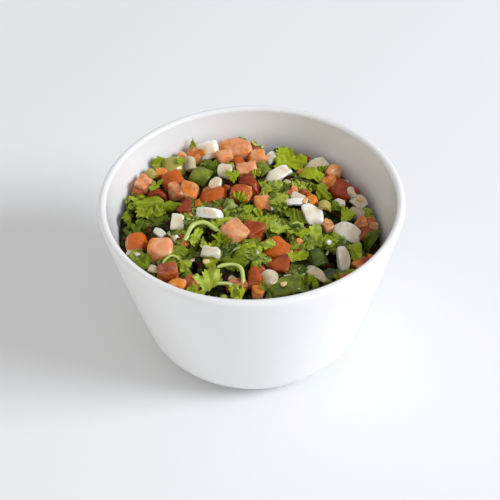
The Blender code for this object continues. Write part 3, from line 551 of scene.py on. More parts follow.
class Level:
    """How high the heap has come over each small square of the plan."""

    def __init__(self):
        self.half = math.ceil(RIM_RADIUS / CELL)
        steps = np.arange(-self.half, self.half + 1) * CELL
        x, y = np.meshgrid(steps, steps, indexing="ij")
        self.height = core_level(x, y)
        self.roof = np.full(x.shape, HEAP_TOP)
        for left, near, right, far, top in LOW_ROOFS:
            inside = (x > left * MM) & (x < right * MM) & (y > near * MM) & (y < far * MM)
            self.roof[inside] = top * MM
        self.claimed = np.zeros(self.height.shape, dtype=bool)

    def cells(self, x, y):
        column = np.clip(np.rint(x / CELL).astype(int) + self.half, 0, 2 * self.half)
        row = np.clip(np.rint(y / CELL).astype(int) + self.half, 0, 2 * self.half)
        return column, row

    def at(self, x, y):
        return self.height[self.cells(np.float64(x), np.float64(y))]

    def reach_of(self, piece, *lattice):
        """A piece's points as it is turned, the squares they meet, and its underside and top over each."""
        points = piece.lattice(*lattice) @ np.array(piece.turned()).T
        cells = self.cells(piece.x + points[:, 0], piece.y + points[:, 1])
        under = np.full(self.height.shape, np.inf)
        over = np.full(self.height.shape, -np.inf)
        np.minimum.at(under, cells, points[:, 2])
        np.maximum.at(over, cells, points[:, 2])
        return points, np.isfinite(under), under, over

    def cover(self, piece):
        """Raises and claims every square under a piece that lies in its place."""
        counts = [math.ceil(1.4 * span / CELL) + 1 for span in piece.size]
        _, met, _, over = self.reach_of(piece, counts, LEAF_COVER, DICE_COVER)
        self.height[met] = np.maximum(self.height[met], piece.z + over[met])
        self.claimed |= met

    def settle(self, piece, rest_share, claims, most_claimed=0):
        """Lowers a piece until that share of its underside rests, inside the wall, and raises the level.

        A piece that claims its squares keeps them from the ones that don't. None comes over the roof, where
        the space over the heap is kept free.
        """
        for _ in range(6):
            points, met, under, over = self.reach_of(piece)
            if not claims and self.claimed[met].mean() > most_claimed:
                return False
            rest = float(np.quantile(self.height[met] - under[met], rest_share))
            cap = heap_level(piece.x, piece.y) + piece.rise - float(points[:, 2].max())
            roof = float((self.roof[met] - over[met]).min())
            piece.z = min(rest, cap, roof)
            reach = np.hypot(piece.x + points[:, 0], piece.y + points[:, 1])
            excess = float((reach - inner_radius(piece.z + points[:, 2])).max()) + WALL_GAP
            if excess < TIGHT:
                piece.ground = self.height.copy()
                self.height[met] = np.maximum(self.height[met], piece.z + over[met])
                self.claimed |= met & claims
                return True
            pull = 1 - 1.1 * excess / math.hypot(piece.x, piece.y)
            piece.x *= pull
            piece.y *= pull
        return False


def sight_line(across, down):
    """The viewer's eye, and the way it looks at a point of the enlarged picture."""
    u = ENLARGED_FROM[0] + across / ENLARGED_BY - PICTURE_MIDDLE[0]
    v = ENLARGED_FROM[1] + down / ENLARGED_BY - PICTURE_MIDDLE[1]
    right = math.cos(PICTURE_TURN) * u + math.sin(PICTURE_TURN) * v
    below = math.cos(PICTURE_TURN) * v - math.sin(PICTURE_TURN) * u
    forward = np.array([0, math.cos(EYE_ELEVATION), -math.sin(EYE_ELEVATION)])
    upward = np.array([0, math.sin(EYE_ELEVATION), math.cos(EYE_ELEVATION)])
    eye = np.array([0, 0, BOWL_HEIGHT / 2]) - forward * EYE_DISTANCE
    return eye, forward * PICTURE_FOCAL - upward * below + np.array([right, 0, 0])


def spot_at(across, down, height, reach):
    """The point of the plan that shows there in the picture, at that height and within that reach."""
    eye, way = sight_line(across, down)
    spot = (eye + way * (height - eye[2]) / way[2])[:2]
    return spot * min(1, reach / math.hypot(*spot))


def first_spot(across, down):
    """Where the heap's own level shows there in the picture."""
    height = LEVEL_AT_WALL
    for _ in range(20):
        height = heap_level(*spot_at(across, down, height, FARTHEST_REACH * 2))
    return spot_at(across, down, height, FIRST_REACH)


def main_pieces(spots):
    """The pieces of the table, at these points of the plan."""
    made = []
    for (x, y), (kind, _, _, *size, heading, lean, roll, rise, tone, share) in zip(spots, MAIN_PIECES):
        size = tuple(length * MM for length in size)
        made.append(Piece(kind, len(made), x, y, size, (heading, lean, roll), rise * MM, tone, share))
    return made


def main_spots():
    """The plan of the main pieces, rounded to half a millimetre.

    How high a piece comes to rest decides where it has to lie to be seen in its place. So they are laid a
    few times over, and each time move most of the way there.
    """
    spots = [first_spot(across, down) for _, across, down, *_ in MAIN_PIECES]
    for _ in range(PLACING_ROUNDS):
        trial = Level()
        for i, piece in enumerate(main_pieces(spots)):
            if trial.settle(piece, MAIN_REST_SHARE, True):
                _, across, down, *_ = MAIN_PIECES[i]
                seen = spot_at(across, down, piece.z, FARTHEST_REACH)
                spots[i] = (1 - MOVE_SHARE) * spots[i] + MOVE_SHARE * seen
    return [[round(value / MM * 2) / 2 * MM for value in spot] for spot in spots]


def fill_piece(kinds, spread, draw, number, x, y, rise, lightest):
    """One more piece of a drawn kind, size and turn."""
    chosen = draw.random()
    for kind, share, *ranges in kinds:
        chosen -= share
        if chosen < 0:
            break
    size = tuple(draw.uniform(*span) * MM for span in ranges)
    turns = (draw.uniform(0, 360), draw.gauss(8, spread), draw.gauss(0, spread))
    looks = random.Random(-number)
    # The power leans the drawn tones dark, partly as painted shade among the pieces.
    tone = lightest * looks.uniform(0, 1) ** 1.3
    return Piece(kind, number, x, y, size, turns, rise, tone, looks.uniform(0, 1) ** 2)


def in_hollow(x, y):
    return any(math.hypot(x - hx * MM, y - hy * MM) < radius * MM for hx, hy, radius in HOLLOWS)


def fill(kinds, spread, first_number, tries, lack, rise, most_claimed, bed, lightest=FILL_LIGHTEST):
    """Lays more pieces on a bed, wherever the top of the heap still lacks that much height."""
    added = []
    draw = random.Random(first_number)
    for number in range(first_number, first_number + tries):
        reach, angle = HEAP_RADIUS * math.sqrt(draw.random()), draw.uniform(0, math.tau)
        x, y = reach * math.cos(angle), reach * math.sin(angle)
        piece = fill_piece(kinds, spread, draw, number, x, y, rise, lightest)
        if heap_level(x, y) - level.at(x, y) > lack and not in_hollow(x, y):
            if bed.settle(piece, FILL_REST_SHARE, False, most_claimed):
                added.append(piece)
    return added


level = Level()
laid = [piece for piece in main_pieces(main_spots()) if level.settle(piece, MAIN_REST_SHARE, True)]
laid += fill(FILL_KINDS, FILL_SPREAD, FIRST_FILL_NUMBER, FILL_TRIES, FILL_LACK, FILL_RISE, MOST_CLAIMED,
             level)

# Small bits fill in the rest: ones low in the gaps, tucked under their neighbours and kept a little darker
# as painted shade there, and others where there is room for them on top
level = Level()
for piece in laid:
    if piece.kind != "stem":
        level.cover(piece)
deep = Level()
deep.claimed = level.claimed
laid += fill(SMALL_KINDS, DEEP_SPREAD, FIRST_DEEP_NUMBER, DEEP_TRIES, DEEP_LACK, DEEP_RISE, DEEP_CLAIMED,
             deep, DEEP_LIGHTEST_IN_SHADE)
laid += fill(SMALL_KINDS, SMALL_SPREAD, FIRST_SMALL_NUMBER, SMALL_TRIES, SMALL_LACK, SMALL_RISE,
             SMALL_CLAIMED, level)

# Seeds that came off the tomato lie on top of it all
for x, y, heading, tone in SEEDS:
    turns = (heading, SEED_LEAN, 0)
    piece = Piece("seed", len(laid), x * MM, y * MM, SEED_SIZE, turns, SEED_RISE, tone, 0)
    if level.settle(piece, FILL_REST_SHARE, True):
        laid.append(piece)


def of_kind(kind):
    return [piece for piece in laid if piece.kind == kind]


# The core. Under the pieces that show, the salsa is packed to the bowl's floor, wet, and painted dark as
# the shade deep in the heap. It is one solid in the bowl's inner form, closed by a rough top, and
# everything else lies on it.
CORE_SEGMENTS = 144
CORE_RINGS = 36
CORE_SIDE_STEPS = 12
CORE_ROUGHNESS = 0.5 * MM
HOLLOW_DEPTH = 4 * MM


def waves(points, draw, size, depth):
    """Shifts points by a few smooth waves of about that size, drawn for the piece."""
    shift = np.zeros(points.shape)
    for _ in range(6):
        heading = np.array([draw.gauss(0, 1) for _ in range(3)])
        heading *= math.tau / (size * draw.uniform(0.7, 1.6)) / np.linalg.norm(heading)
        push = np.array([draw.gauss(0, 1) for _ in range(3)])
        shift += np.outer(np.sin(points @ heading + draw.uniform(0, math.tau)), push)
    return points + shift * depth / math.sqrt(6)


def core_points():
    """Rings of points: up the side just inside the wall, then in over the top to the middle."""
    angles = np.arange(CORE_SEGMENTS) * math.tau / CORE_SEGMENTS
    cosines, sines = np.cos(angles), np.sin(angles)
    shoulder = np.full(CORE_SEGMENTS, HEAP_RADIUS)
    for _ in range(6):
        shoulder = inner_radius(core_level(shoulder * cosines, shoulder * sines)) - WALL_GAP
    shoulder_height = core_level(shoulder * cosines, shoulder * sines)
    bottom = FLOOR_THICKNESS + WALL_GAP
    rings = []
    for i in range(CORE_SIDE_STEPS):
        height = bottom + (shoulder_height - bottom) * (i / CORE_SIDE_STEPS) ** 1.5
        radius = inner_radius(height) - WALL_GAP
        rings.append(np.stack((radius * cosines, radius * sines, height), 1))
    for i in range(CORE_RINGS):
        x, y = (shoulder * (1 - i / CORE_RINGS) * turn for turn in (cosines, sines))
        dips = sum(np.exp(-(((x - hx * MM) ** 2 + (y - hy * MM) ** 2) / (radius * MM) ** 2))
                   for hx, hy, radius in HOLLOWS)
        top = np.stack((x, y, core_level(x, y) - HOLLOW_DEPTH * dips), 1)
        rough = waves(top, random.Random(1), 3 * MM, CORE_ROUGHNESS)
        top[:, 2] = top[:, 2] + (rough[:, 2] - top[:, 2]) * min(1, i / 3)
        rings.append(top)
    return rings


def make_core():
    bm = bmesh.new()
    rings = [[bm.verts.new(point) for point in ring] for ring in core_points()]
    for lower, upper in zip(rings, rings[1:]):
        for i in range(CORE_SEGMENTS):
            j = (i + 1) % CORE_SEGMENTS
            bm.faces.new((lower[i], lower[j], upper[j], upper[i]))
    bm.faces.new(rings[0])
    bm.faces.new(rings[-1])
    bmesh.ops.recalc_face_normals(bm, faces=bm.faces)
    mesh = bpy.data.meshes.new("salsa_core")
    bm.to_mesh(mesh)
    bm.free()
    mesh.shade_smooth()
    return new_piece("salsa_core", mesh)


def salsa_in_painted_shade():
    """Small bits of tomato, leaf and onion in their juice, painted dark as shade, with painted shade
    between them.
    """
    made = Finish("salsa_in_painted_shade")
    cells = {"Vector": made.place(), "Scale": 1 / (2.4 * MM), "Randomness": 1}
    draws = made.node("ShaderNodeTexVoronoi", {}, cells, "Color")
    kind = made.node("ShaderNodeSeparateColor", {}, {"Color": draws}, "Red")
    light = made.node("ShaderNodeSeparateColor", {}, {"Color": draws}, "Green")
    out = made.node("ShaderNodeTexVoronoi", {}, cells, "Distance")
    # The bits' colours are painted dark: painted shade deep under the pieces that show.
    leaf = made.mixed((0.012, 0.020, 0.002, 1), (0.07, 0.10, 0.008, 1), light)
    tomato = made.mixed((0.05, 0.012, 0.004, 1), (0.17, 0.045, 0.012, 1), light)
    bits = made.mixed(leaf, tomato, kind.step(0.66, 0.68))
    bits = made.mixed(bits, (0.20, 0.18, 0.11, 1), kind.step(0.92, 0.94))
    fine = made.noise(0.8 * MM, 3)
    # Near black where the cells meet: painted shade in the gaps between the bits.
    painted_gap_shade = (out + 0.5 * (fine - 0.5)).step(0.35, 0.75)
    made.wear({
        "Base Color": made.mixed(bits, (0.008, 0.006, 0.002, 1), painted_gap_shade),
        "Roughness": 0.5,
        "Specular IOR Level": 0.1,
        "Normal": made.relief(0.3 * fine - out, 1.2 * MM),
    })
    return made


core = make_core()
dress(core, salsa_in_painted_shade())
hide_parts("pico_de_gallo")


# The tomato. Ripe tomato cut into uneven dice with the skin left on, so that one side of some is a smooth
# orange-red skin and the rest is wet, paler flesh, soft at its cut edges.
LEAST_CORNER = 0.8
SLOW_WAVE = 6 * MM
QUICK_WAVE = 1.5 * MM
QUICK_DEPTH = 0.08 * MM


class Heaping:
    """Gathers the pieces of one kind into one mesh, with the values that the finish reads at each point."""

    def __init__(self):
        self.points = []
        self.faces = []
        self.values = {}
        self.count = 0

    def add(self, points, faces, **values):
        self.points.append(points)
        self.faces += [tuple(corner + self.count for corner in face) for face in faces]
        for name, value in values.items():
            self.values.setdefault(name, []).append(np.broadcast_to(value, len(points)))
        self.count += len(points)

    def made(self, name, finish, slot_name, sharp=50):
        mesh = bpy.data.meshes.new(name)
        mesh.from_pydata(np.concatenate(self.points), [], self.faces)
        for value_name, parts in self.values.items():
            attribute = mesh.attributes.new(value_name, "FLOAT", "POINT")
            attribute.data.foreach_set("value", np.concatenate(parts).astype(np.float32))
        mesh.shade_smooth()
        mesh.set_sharp_from_angle(angle=math.radians(sharp))
        piece = new_piece(name, mesh)
        dress(piece, finish)
        return piece


def cube_net(cuts):
    """A cube from -1 to 1 with each face cut into a grid, as points and quads."""
    bm = bmesh.new()
    bmesh.ops.create_cube(bm, size=2)
    bmesh.ops.subdivide_edges(bm, edges=bm.edges, cuts=cuts, use_grid_fill=True)
    points = np.array([tuple(v.co) for v in bm.verts])
    faces = [tuple(v.index for v in face.verts) for face in bm.faces]
    bm.free()
    return points, faces


def softened(net, power):
    """Draws a cube's points in, towards a ball: a low power is rounder, a high one keeps the edges."""
    return net / ((np.abs(net) ** power).sum(1) ** (1 / power))[:, None]


def block_corners(piece):
    """A cut piece's eight corners, drawn inwards from its box, so that no two faces are parallel."""
    draw = piece.dice()
    corners = {}
    for u in (-1, 1):
        for v in (-1, 1):
            for w in (-1, 1):
                pull = [draw.uniform(LEAST_CORNER, 1) for _ in range(3)]
                corners[u, v, w] = tuple(s * p * d / 2 for s, p, d in zip((u, v, w), pull, piece.size))
    return corners


def block_points(piece, net, arch):
    """The net's points between the piece's corners. arch lifts its middle, as a share of its thickness."""
    u, v, w = net.T
    points = np.zeros(net.shape)
    for (cu, cv, cw), corner in block_corners(piece).items():
        points += np.outer((1 + u * cu) * (1 + v * cv) * (1 + w * cw) / 8, corner)
    points[:, 2] = points[:, 2] * (1 - arch) + arch * piece.size[2] * (0.5 - u * u)
    return points


def trimmed(points, draw, cuts):
    """Cuts slanting slices off a piece's corners, each as flat as a knife leaves it."""
    for _ in range(cuts):
        normal = np.array([draw.choice((-1, 1)) * draw.uniform(0.4, 1) for _ in range(3)])
        normal /= np.linalg.norm(normal)
        along = points @ normal
        over = (along - along.max() * draw.uniform(0.62, 0.9)).clip(0)
        points = points - np.outer(over, normal)
    return points


def near_edge(net):
    """How near each point of a cube's net lies to an edge, from 0 to 1."""
    return np.sort(np.abs(net), axis=1)[:, 1] ** 4


def tomato_finish():
    """Wet tomato: skin deep orange-red and glossy, flesh from red-brown through salmon to light orange.
    Its darkest flesh and rind are partly painted shade, and its pale pulp is partly a painted highlight.
    """
    made = Finish("cut_tomato")
    tone, skin, warm, edge = (made.value(name) for name in ("tone", "skin", "warm", "edge"))
    mottle = made.noise(2.2 * MM, 4)
    fine = made.noise(0.6 * MM, 2)
    orange = (warm + 2.2 * (made.noise(4 * MM, 2) - 0.5)).step(0.2, 0.8)
    light = made.mixed((0.82, 0.34, 0.15, 1), (0.80, 0.25, 0.02, 1), orange)
    # The dark flesh, and the dark rind below, are partly painted shade for pieces lying in the shade of
    # others.
    dark = made.mixed((0.26, 0.04, 0.012, 1), (0.38, 0.07, 0.005, 1), orange)
    flesh = made.mixed(dark, light, (tone + 1.1 * (mottle - 0.5)).step(0, 0.9))
    # Pale pulp, more towards the cut edges: partly the pulp's own colour, partly painted highlight and
    # painted light through the thin edges.
    pulp_and_highlight = (made.noise(2.6 * MM, 3) + 0.1 * edge).step(0.46, 0.8)
    veined_and_highlit = made.mixed(flesh, (0.88, 0.55, 0.30, 1), 0.75 * pulp_and_highlight * (tone + 0.2).step(0, 0.9))
    ripe = (tone + 0.8 * (mottle - 0.5)).step(0, 0.9)
    rind = made.mixed((0.27, 0.025, 0.003, 1), (0.62, 0.13, 0.004, 1), ripe)
    made.wear({
        "Base Color": made.mixed(veined_and_highlit, rind, skin.step(0.3, 0.7)),
        "Roughness": 0.26 - 0.1 * skin + 0.12 * fine,
        "Specular IOR Level": 0.2,
        "Subsurface Weight": 0.45,
        "Subsurface Radius": (1.0, 0.35, 0.15),
        "Subsurface Scale": 2.2 * MM,
        "Coat Weight": 0.38,
        "Coat Roughness": 0.09,
        "Normal": made.relief(mottle + 0.6 * fine, 0.45 * MM),
    })
    return made


TOMATO_NET = cube_net(8)
tomato = Heaping()
for piece in of_kind("tomato"):
    draw = piece.more_dice()
    net = softened(TOMATO_NET[0], draw.uniform(4, 9))
    points = block_points(piece, net, 0.3 * (piece.share > 0.7))
    points = trimmed(points, draw, draw.choice((2, 3, 4, 5)))
    points = waves(points, draw, SLOW_WAVE, 0.25 * MM)
    points = waves(points, draw, QUICK_WAVE, QUICK_DEPTH)
    skin = (net[:, 2] > 0.7) * piece.share
    tomato.add(piece.placed(points), TOMATO_NET[1], tone=piece.tone, skin=skin, warm=draw.random(),
               edge=near_edge(TOMATO_NET[0]))
tomato.made("diced_tomato", tomato_finish(), "tomato")


# The onion. White onion cut across its layers, so each piece is a short length of a curved layer, crisp at
# its cut edges, with fine lines running along it. Where they have soaked up juice they are clearer, greyer
# or stained.
def onion_finish():
    """Wet white onion: cream-white, clearer in places, stained by the juice, with fine lines along it."""
    made = Finish("cut_onion")
    tone, clear, across, edge = (made.value(name) for name in ("tone", "clear", "across", "edge"))
    cloud = made.noise(2.5 * MM, 3)
    lines = (across * (math.tau / 0.9) + 3 * cloud).sine() * 0.5 + 0.5
    light = (tone + 1.2 * (cloud - 0.5)).step(0.2, 1)
    white = made.mixed((0.72, 0.65, 0.46, 1), (0.90, 0.88, 0.78, 1), light)
    soaked = made.mixed((0.42, 0.37, 0.24, 1), (0.74, 0.66, 0.47, 1), light)
    body = made.mixed(white, soaked, (clear + 0.25 - 0.4 * edge + 0.8 * (cloud - 0.5)).step(0.1, 0.9))
    juice = (made.noise(4 * MM, 3) - 0.2 * edge).step(0.42, 0.66)
    stained = made.mixed(body, (0.72, 0.45, 0.25, 1), 0.6 * juice)
    made.wear({
        "Base Color": made.mixed(stained, (0.50, 0.45, 0.30, 1), 0.09 * lines),
        "Roughness": 0.24 + 0.1 * cloud,
        "Subsurface Weight": 0.5,
        "Subsurface Radius": (1.0, 0.85, 0.6),
        "Subsurface Scale": 3 * MM,
        "Coat Weight": 0.4,
        "Coat Roughness": 0.1,
        "Normal": made.relief(0.08 * lines + cloud, 0.12 * MM),
    })
    return made


ONION_NET = cube_net(7)
onion = Heaping()
for piece in of_kind("onion"):
    draw = piece.more_dice()
    net = softened(ONION_NET[0], draw.uniform(7, 14))
    points = block_points(piece, net, draw.uniform(0.15, 0.4))
    u = net[:, 0] * draw.choice((-1, 1))
    narrow = draw.uniform(0.1, 0.6)
    less_narrow = draw.uniform(0, 0.25)
    points[:, 1] *= 1 - narrow * u.clip(0) ** 2 - less_narrow * (-u).clip(0) ** 2
    points = trimmed(points, draw, draw.choice((1, 2, 3)))
    across = points[:, 1] / MM
    points = waves(points, draw, SLOW_WAVE, 0.2 * MM)
    points = waves(points, draw, QUICK_WAVE, QUICK_DEPTH)
    onion.add(piece.placed(points), ONION_NET[1], tone=piece.tone, clear=piece.share, across=across,
              edge=near_edge(ONION_NET[0]))
onion.made("chopped_onion", onion_finish(), "onion")


# The chilli. Green chilli seeded and cut into short curved pieces: a smooth, shiny skin over a thin wall of
# paler flesh, which shows at the cut edges.
def chilli_finish():
    """Green chilli: glossy skin on the outside of the curve, pale flesh at the cuts."""
    made = Finish("green_chilli")
    tone, pale, rind = made.value("tone"), made.value("pale"), made.value("rind")
    cloud = made.noise(3 * MM, 3)
    ripe = (tone + 0.9 * (cloud - 0.5)).step(0, 1)
    # The dark end of the skin is partly painted shade, for pieces that lie deep between others.
    skin = made.mixed((0.016, 0.034, 0.002, 1), (0.34, 0.42, 0.010, 1), ripe)
    flesh = made.mixed((0.22, 0.30, 0.06, 1), (0.46, 0.38, 0.08, 1), pale)
    yellow = made.mixed(skin, flesh, pale.step(0.3, 1))
    made.wear({
        "Base Color": made.mixed(flesh, yellow, rind.step(0.3, 0.7)),
        "Roughness": 0.3 - 0.1 * rind,
        "Specular IOR Level": 0.3,
        "Subsurface Weight": 0.15,
        "Subsurface Radius": (0.6, 1.0, 0.3),
        "Subsurface Scale": 1 * MM,
        "Coat Weight": 0.4,
        "Coat Roughness": 0.08,
        "Normal": made.relief(cloud, 0.15 * MM),
    })
    return made


CHILLI_NET = cube_net(7)
chilli = Heaping()
for piece in of_kind("chilli"):
    draw = piece.more_dice()
    net = softened(CHILLI_NET[0], 9)
    points = trimmed(block_points(piece, net, 0.4), draw, 1)
    points = waves(points, draw, SLOW_WAVE, 0.25 * MM)
    rind = net[:, 2] > 0.55
    chilli.add(piece.placed(points), CHILLI_NET[1], tone=piece.tone, pale=piece.share, rind=rind)
chilli.made("green_chilli_pieces", chilli_finish(), "chilli")


# The leaves. Fresh coriander, torn and cut across: thin three-lobed leaflets with rounded teeth, some of
# them whole and some cut straight. They lie over the dice, folded along the middle and ruffled at the edge.
LEAF_SHEET = 0.3 * MM
LEAF_RINGS = 7
LEAF_EDGE_POINTS = 96
LEAF_DEEPEST = (0.08, 0.26)
LEAF_LIFT = 0.25 * MM


def leaf_outline(angles, draw, cuts, deepest):
    """A leaflet's edge about its middle: three broad lobes, teeth, and where the knife went through."""
    lobes = 0.84 + 0.16 * np.cos(3 * angles)
    count = draw.choice((7, 8, 10, 12))
    tooth = np.abs(np.cos(count * angles + draw.uniform(0, 1))) ** draw.choice((0.6, 1, 1))
    teeth = 1 - draw.uniform(*deepest) * (1 - tooth)
    for place in (math.pi / 3, -math.pi / 3):
        off = (angles - place + math.pi) % math.tau - math.pi
        lobes -= draw.uniform(0.1, 0.35) * np.exp(-((off / 0.14) ** 2))
    radius = lobes * teeth
    knife = draw.uniform(0, math.tau)
    for turn in (0, math.pi, math.pi / 2)[:cuts]:
        facing = np.cos(angles - knife - turn - draw.gauss(0, 0.3))
        cut = draw.uniform(0.3, 0.6)
        radius = np.where(facing > 0.05, np.minimum(radius, cut / np.maximum(facing, 0.05)), radius)
    return radius


def leaf_points(piece, draw, rings, edge_points, cuts, deepest):
    """The middle of a thin sheet, pleated, curled and ruffled, and how far each point lies from a rib, with
    the rim set near one, so that it is painted pale as painted light at the thin edge.
    """
    length, width, space = piece.size
    angles = np.arange(edge_points) * math.tau / edge_points
    edge = leaf_outline(angles, draw, cuts, deepest)
    wide = np.abs(edge * np.cos(angles)).max()
    high = np.abs(edge * np.sin(angles)).max()
    shares = np.arange(1, rings + 1) / rings
    x = length / (2 * wide) * np.concatenate(([0], np.outer(shares, edge * np.cos(angles)).ravel()))
    y = width / (2 * high) * np.concatenate(([0], np.outer(shares, edge * np.sin(angles)).ravel()))
    out = np.concatenate(([0], np.repeat(shares, edge_points)))
    turn = np.concatenate(([0], np.tile(angles, rings)))
    stalk_x, stalk_y = -length * draw.uniform(0.4, 0.9), width * draw.uniform(-0.3, 0.3)
    spread = draw.uniform(0.26, 0.40)
    heading = np.arctan2(y - stalk_y, x - stalk_x)
    reach = np.hypot(x - stalk_x, y - stalk_y)
    off = (heading + spread / 2) % spread - spread / 2
    rib_and_lit_rim = np.minimum(reach * np.abs(np.sin(off)) / MM, 9)
    pleat = draw.uniform(0.3, 0.8) * MM * (reach / length).clip(0, 1) * np.cos(off / spread * math.tau)
    ruffle = 0.17 * space * out**2 * np.sin(draw.choice((4, 5, 6)) * turn + draw.uniform(0, math.tau))
    fold = draw.uniform(-0.5, 0.7) * np.abs(y)
    height = fold + ruffle - pleat
    bend = draw.uniform(-0.18, 0.08) / MM
    bend_heading = draw.uniform(-0.9, 0.9)
    cosine, sine = math.cos(bend_heading), math.sin(bend_heading)
    along, across = x * cosine + y * sine, y * cosine - x * sine
    bent = np.sin(along * bend) / bend
    height = height * np.cos(along * bend) + (1 - np.cos(along * bend)) / bend
    x, y = bent * cosine - across * sine, bent * sine + across * cosine
    # The rim is set near a rib, so that it is painted paler: painted light at the thin edge.
    return np.stack((x, y, height - height.mean()), 1), np.where(out > 0.97, np.minimum(rib_and_lit_rim, 0.3), rib_and_lit_rim)


def leaf_faces(rings, edge_points):
    """The sheet's triangles: a fan and quads split alike on both sides, and a strip round the edge."""
    side = 1 + rings * edge_points
    faces = []
    for i in range(edge_points):
        j = (i + 1) % edge_points
        faces.append((0, 1 + i, 1 + j))
        for ring in range(rings - 1):
            a, b = 1 + ring * edge_points + i, 1 + ring * edge_points + j
            c, d = b + edge_points, a + edge_points
            faces += [(a, d, c), (a, c, b)]
    under = [tuple(corner + side for corner in face[::-1]) for face in faces]
    last = 1 + (rings - 1) * edge_points
    for i in range(edge_points):
        a, b = last + i, last + (i + 1) % edge_points
        under += [(a, a + side, b + side), (a, b + side, b)]
    return faces + under


def sheet(piece, draw, rings, edge_points, cuts, deepest):
    """A leaf's points as it lies, both sides, with the values that its finish reads."""
    top, rib_and_lit_rim = leaf_points(piece, draw, rings, edge_points, cuts, deepest)
    middle = draped(piece.placed(top), piece.ground)
    up = np.array(piece.turned())[:, 2] * LEAF_SHEET / 2
    values = {"rib_and_lit_rim": np.concatenate((rib_and_lit_rim, rib_and_lit_rim)), "under": np.repeat((0, 1), len(top)), "pale": piece.share}
    return np.concatenate((middle + up, middle - up)), values


def draped(points, ground):
    """Lifts a leaf's points off what lies under them, a little at most, so that it lies over the dice."""
    column = (points[:, 0] / CELL + level.half).clip(0, 2 * level.half - 1.001)
    row = (points[:, 1] / CELL + level.half).clip(0, 2 * level.half - 1.001)
    i, j = column.astype(int), row.astype(int)
    s, t = column - i, row - j
    under = ((1 - s) * (1 - t) * ground[i, j] + s * (1 - t) * ground[i + 1, j]
             + (1 - s) * t * ground[i, j + 1] + s * t * ground[i + 1, j + 1])
    lift = (under + LEAF_LIFT - points[:, 2]).clip(0, 2.5 * MM)
    lifted = points.copy()
    lifted[:, 2] += lift
    return lifted


def leaf_finish():
    """Fresh coriander: bright to dark green, its dark end partly painted shade, with pale patches of
    painted sheen, paler along its ribs and at its rim, the rim as painted light, duller underneath, a
    little damp.
    """
    made = Finish("coriander_leaf")
    tone, pale, rib_and_lit_rim, under = (made.value(name) for name in ("tone", "pale", "rib_and_lit_rim", "under"))
    cloud = made.noise(2.2 * MM, 3)
    grain = made.noise(0.5 * MM, 2)
    shade = (tone + 0.4 * (cloud - 0.5) + 0.3 * (grain - 0.5)).step(0, 1)
    # The dark end of the green is partly painted shade between the leaves.
    green = made.mixed((0.034, 0.060, 0.002, 1), (0.35, 0.43, 0.006, 1), shade)
    # Pale patches where pale is set: a painted sheen of light on the leaf.
    light = made.mixed(green, (0.50, 0.58, 0.13, 1), pale * cloud.step(0.25, 0.75))
    ribbed = made.mixed(light, (0.44, 0.52, 0.05, 1), shade * 0.5 * (1 - rib_and_lit_rim.step(0.1, 0.6)))
    made.wear({
        "Base Color": made.mixed(ribbed, (0.15, 0.20, 0.03, 1), 0.6 * under),
        "Specular IOR Level": 0.15,
        "Roughness": 0.34 + 0.15 * grain,
        "Subsurface Weight": 0.2,
        "Subsurface Radius": (0.5, 1.0, 0.15),
        "Subsurface Scale": 0.8 * MM,
        "Coat Weight": 0.05,
        "Coat Roughness": 0.12,
        "Normal": made.relief(grain + cloud - 0.5 * (1 - rib_and_lit_rim.step(0.05, 0.5)), 0.15 * MM),
    })
    return made


LEAF_FACES = leaf_faces(LEAF_RINGS, LEAF_EDGE_POINTS)
leaves = Heaping()
for piece in of_kind("leaf"):
    draw = piece.more_dice()
    cuts = draw.choice((0, 1, 1, 2))
    points, values = sheet(piece, draw, LEAF_RINGS, LEAF_EDGE_POINTS, cuts, LEAF_DEEPEST)
    leaves.add(points, LEAF_FACES, tone=piece.tone, **values)
leaves.made("coriander_leaves", leaf_finish(), "leaf", 80)

SHRED_RINGS = 4
SHRED_EDGE_POINTS = 32
SHRED_DEEPEST = (0, 0.08)
SHRED_FACES = leaf_faces(SHRED_RINGS, SHRED_EDGE_POINTS)
shreds = Heaping()
for piece in of_kind("shred"):
    draw = piece.more_dice()
    cuts = draw.choice((1, 2, 3))
    points, values = sheet(piece, draw, SHRED_RINGS, SHRED_EDGE_POINTS, cuts, SHRED_DEEPEST)
    shreds.add(points, SHRED_FACES, tone=piece.tone, **values)
shreds.made("coriander_shreds", leaf_finish(), "leaf", 80)


# The stalks. Short lengths of coriander stalk, thin juicy tubes that curl where they are cut.
STEM_SIDES = 10
STEM_JOINTS = 17


def stem_points(piece):
    """A tube bent in an arc as wide as its box, with rounded ends."""
    length, width, thickness = piece.size
    radius = thickness / 2 * 0.7
    share = np.linspace(-1, 1, STEM_JOINTS)
    x = share * (length / 2 - radius)
    y = (width / 2 - radius) * (1 - 2 * share**2)
    tilt = np.arctan2(-4 * share * (width / 2 - radius), length / 2 - radius)
    girth = radius * (1 - share**16 * 0.5)
    rings = []
    for k in range(STEM_SIDES):
        angle = math.tau * k / STEM_SIDES
        out, up = girth * math.cos(angle), girth * math.sin(angle)
        rings.append(np.stack((x - out * np.sin(tilt), y + out * np.cos(tilt), up), 1))
    return np.stack(rings, 1).reshape(-1, 3)


def stem_faces():
    last = STEM_SIDES * STEM_JOINTS - 1
    faces = [tuple(range(STEM_SIDES)), tuple(range(last, last - STEM_SIDES, -1))]
    for joint in range(STEM_JOINTS - 1):
        for k in range(STEM_SIDES):
            a = joint * STEM_SIDES + k
            b = joint * STEM_SIDES + (k + 1) % STEM_SIDES
            faces.append((a, a + STEM_SIDES, b + STEM_SIDES, b))
    return faces


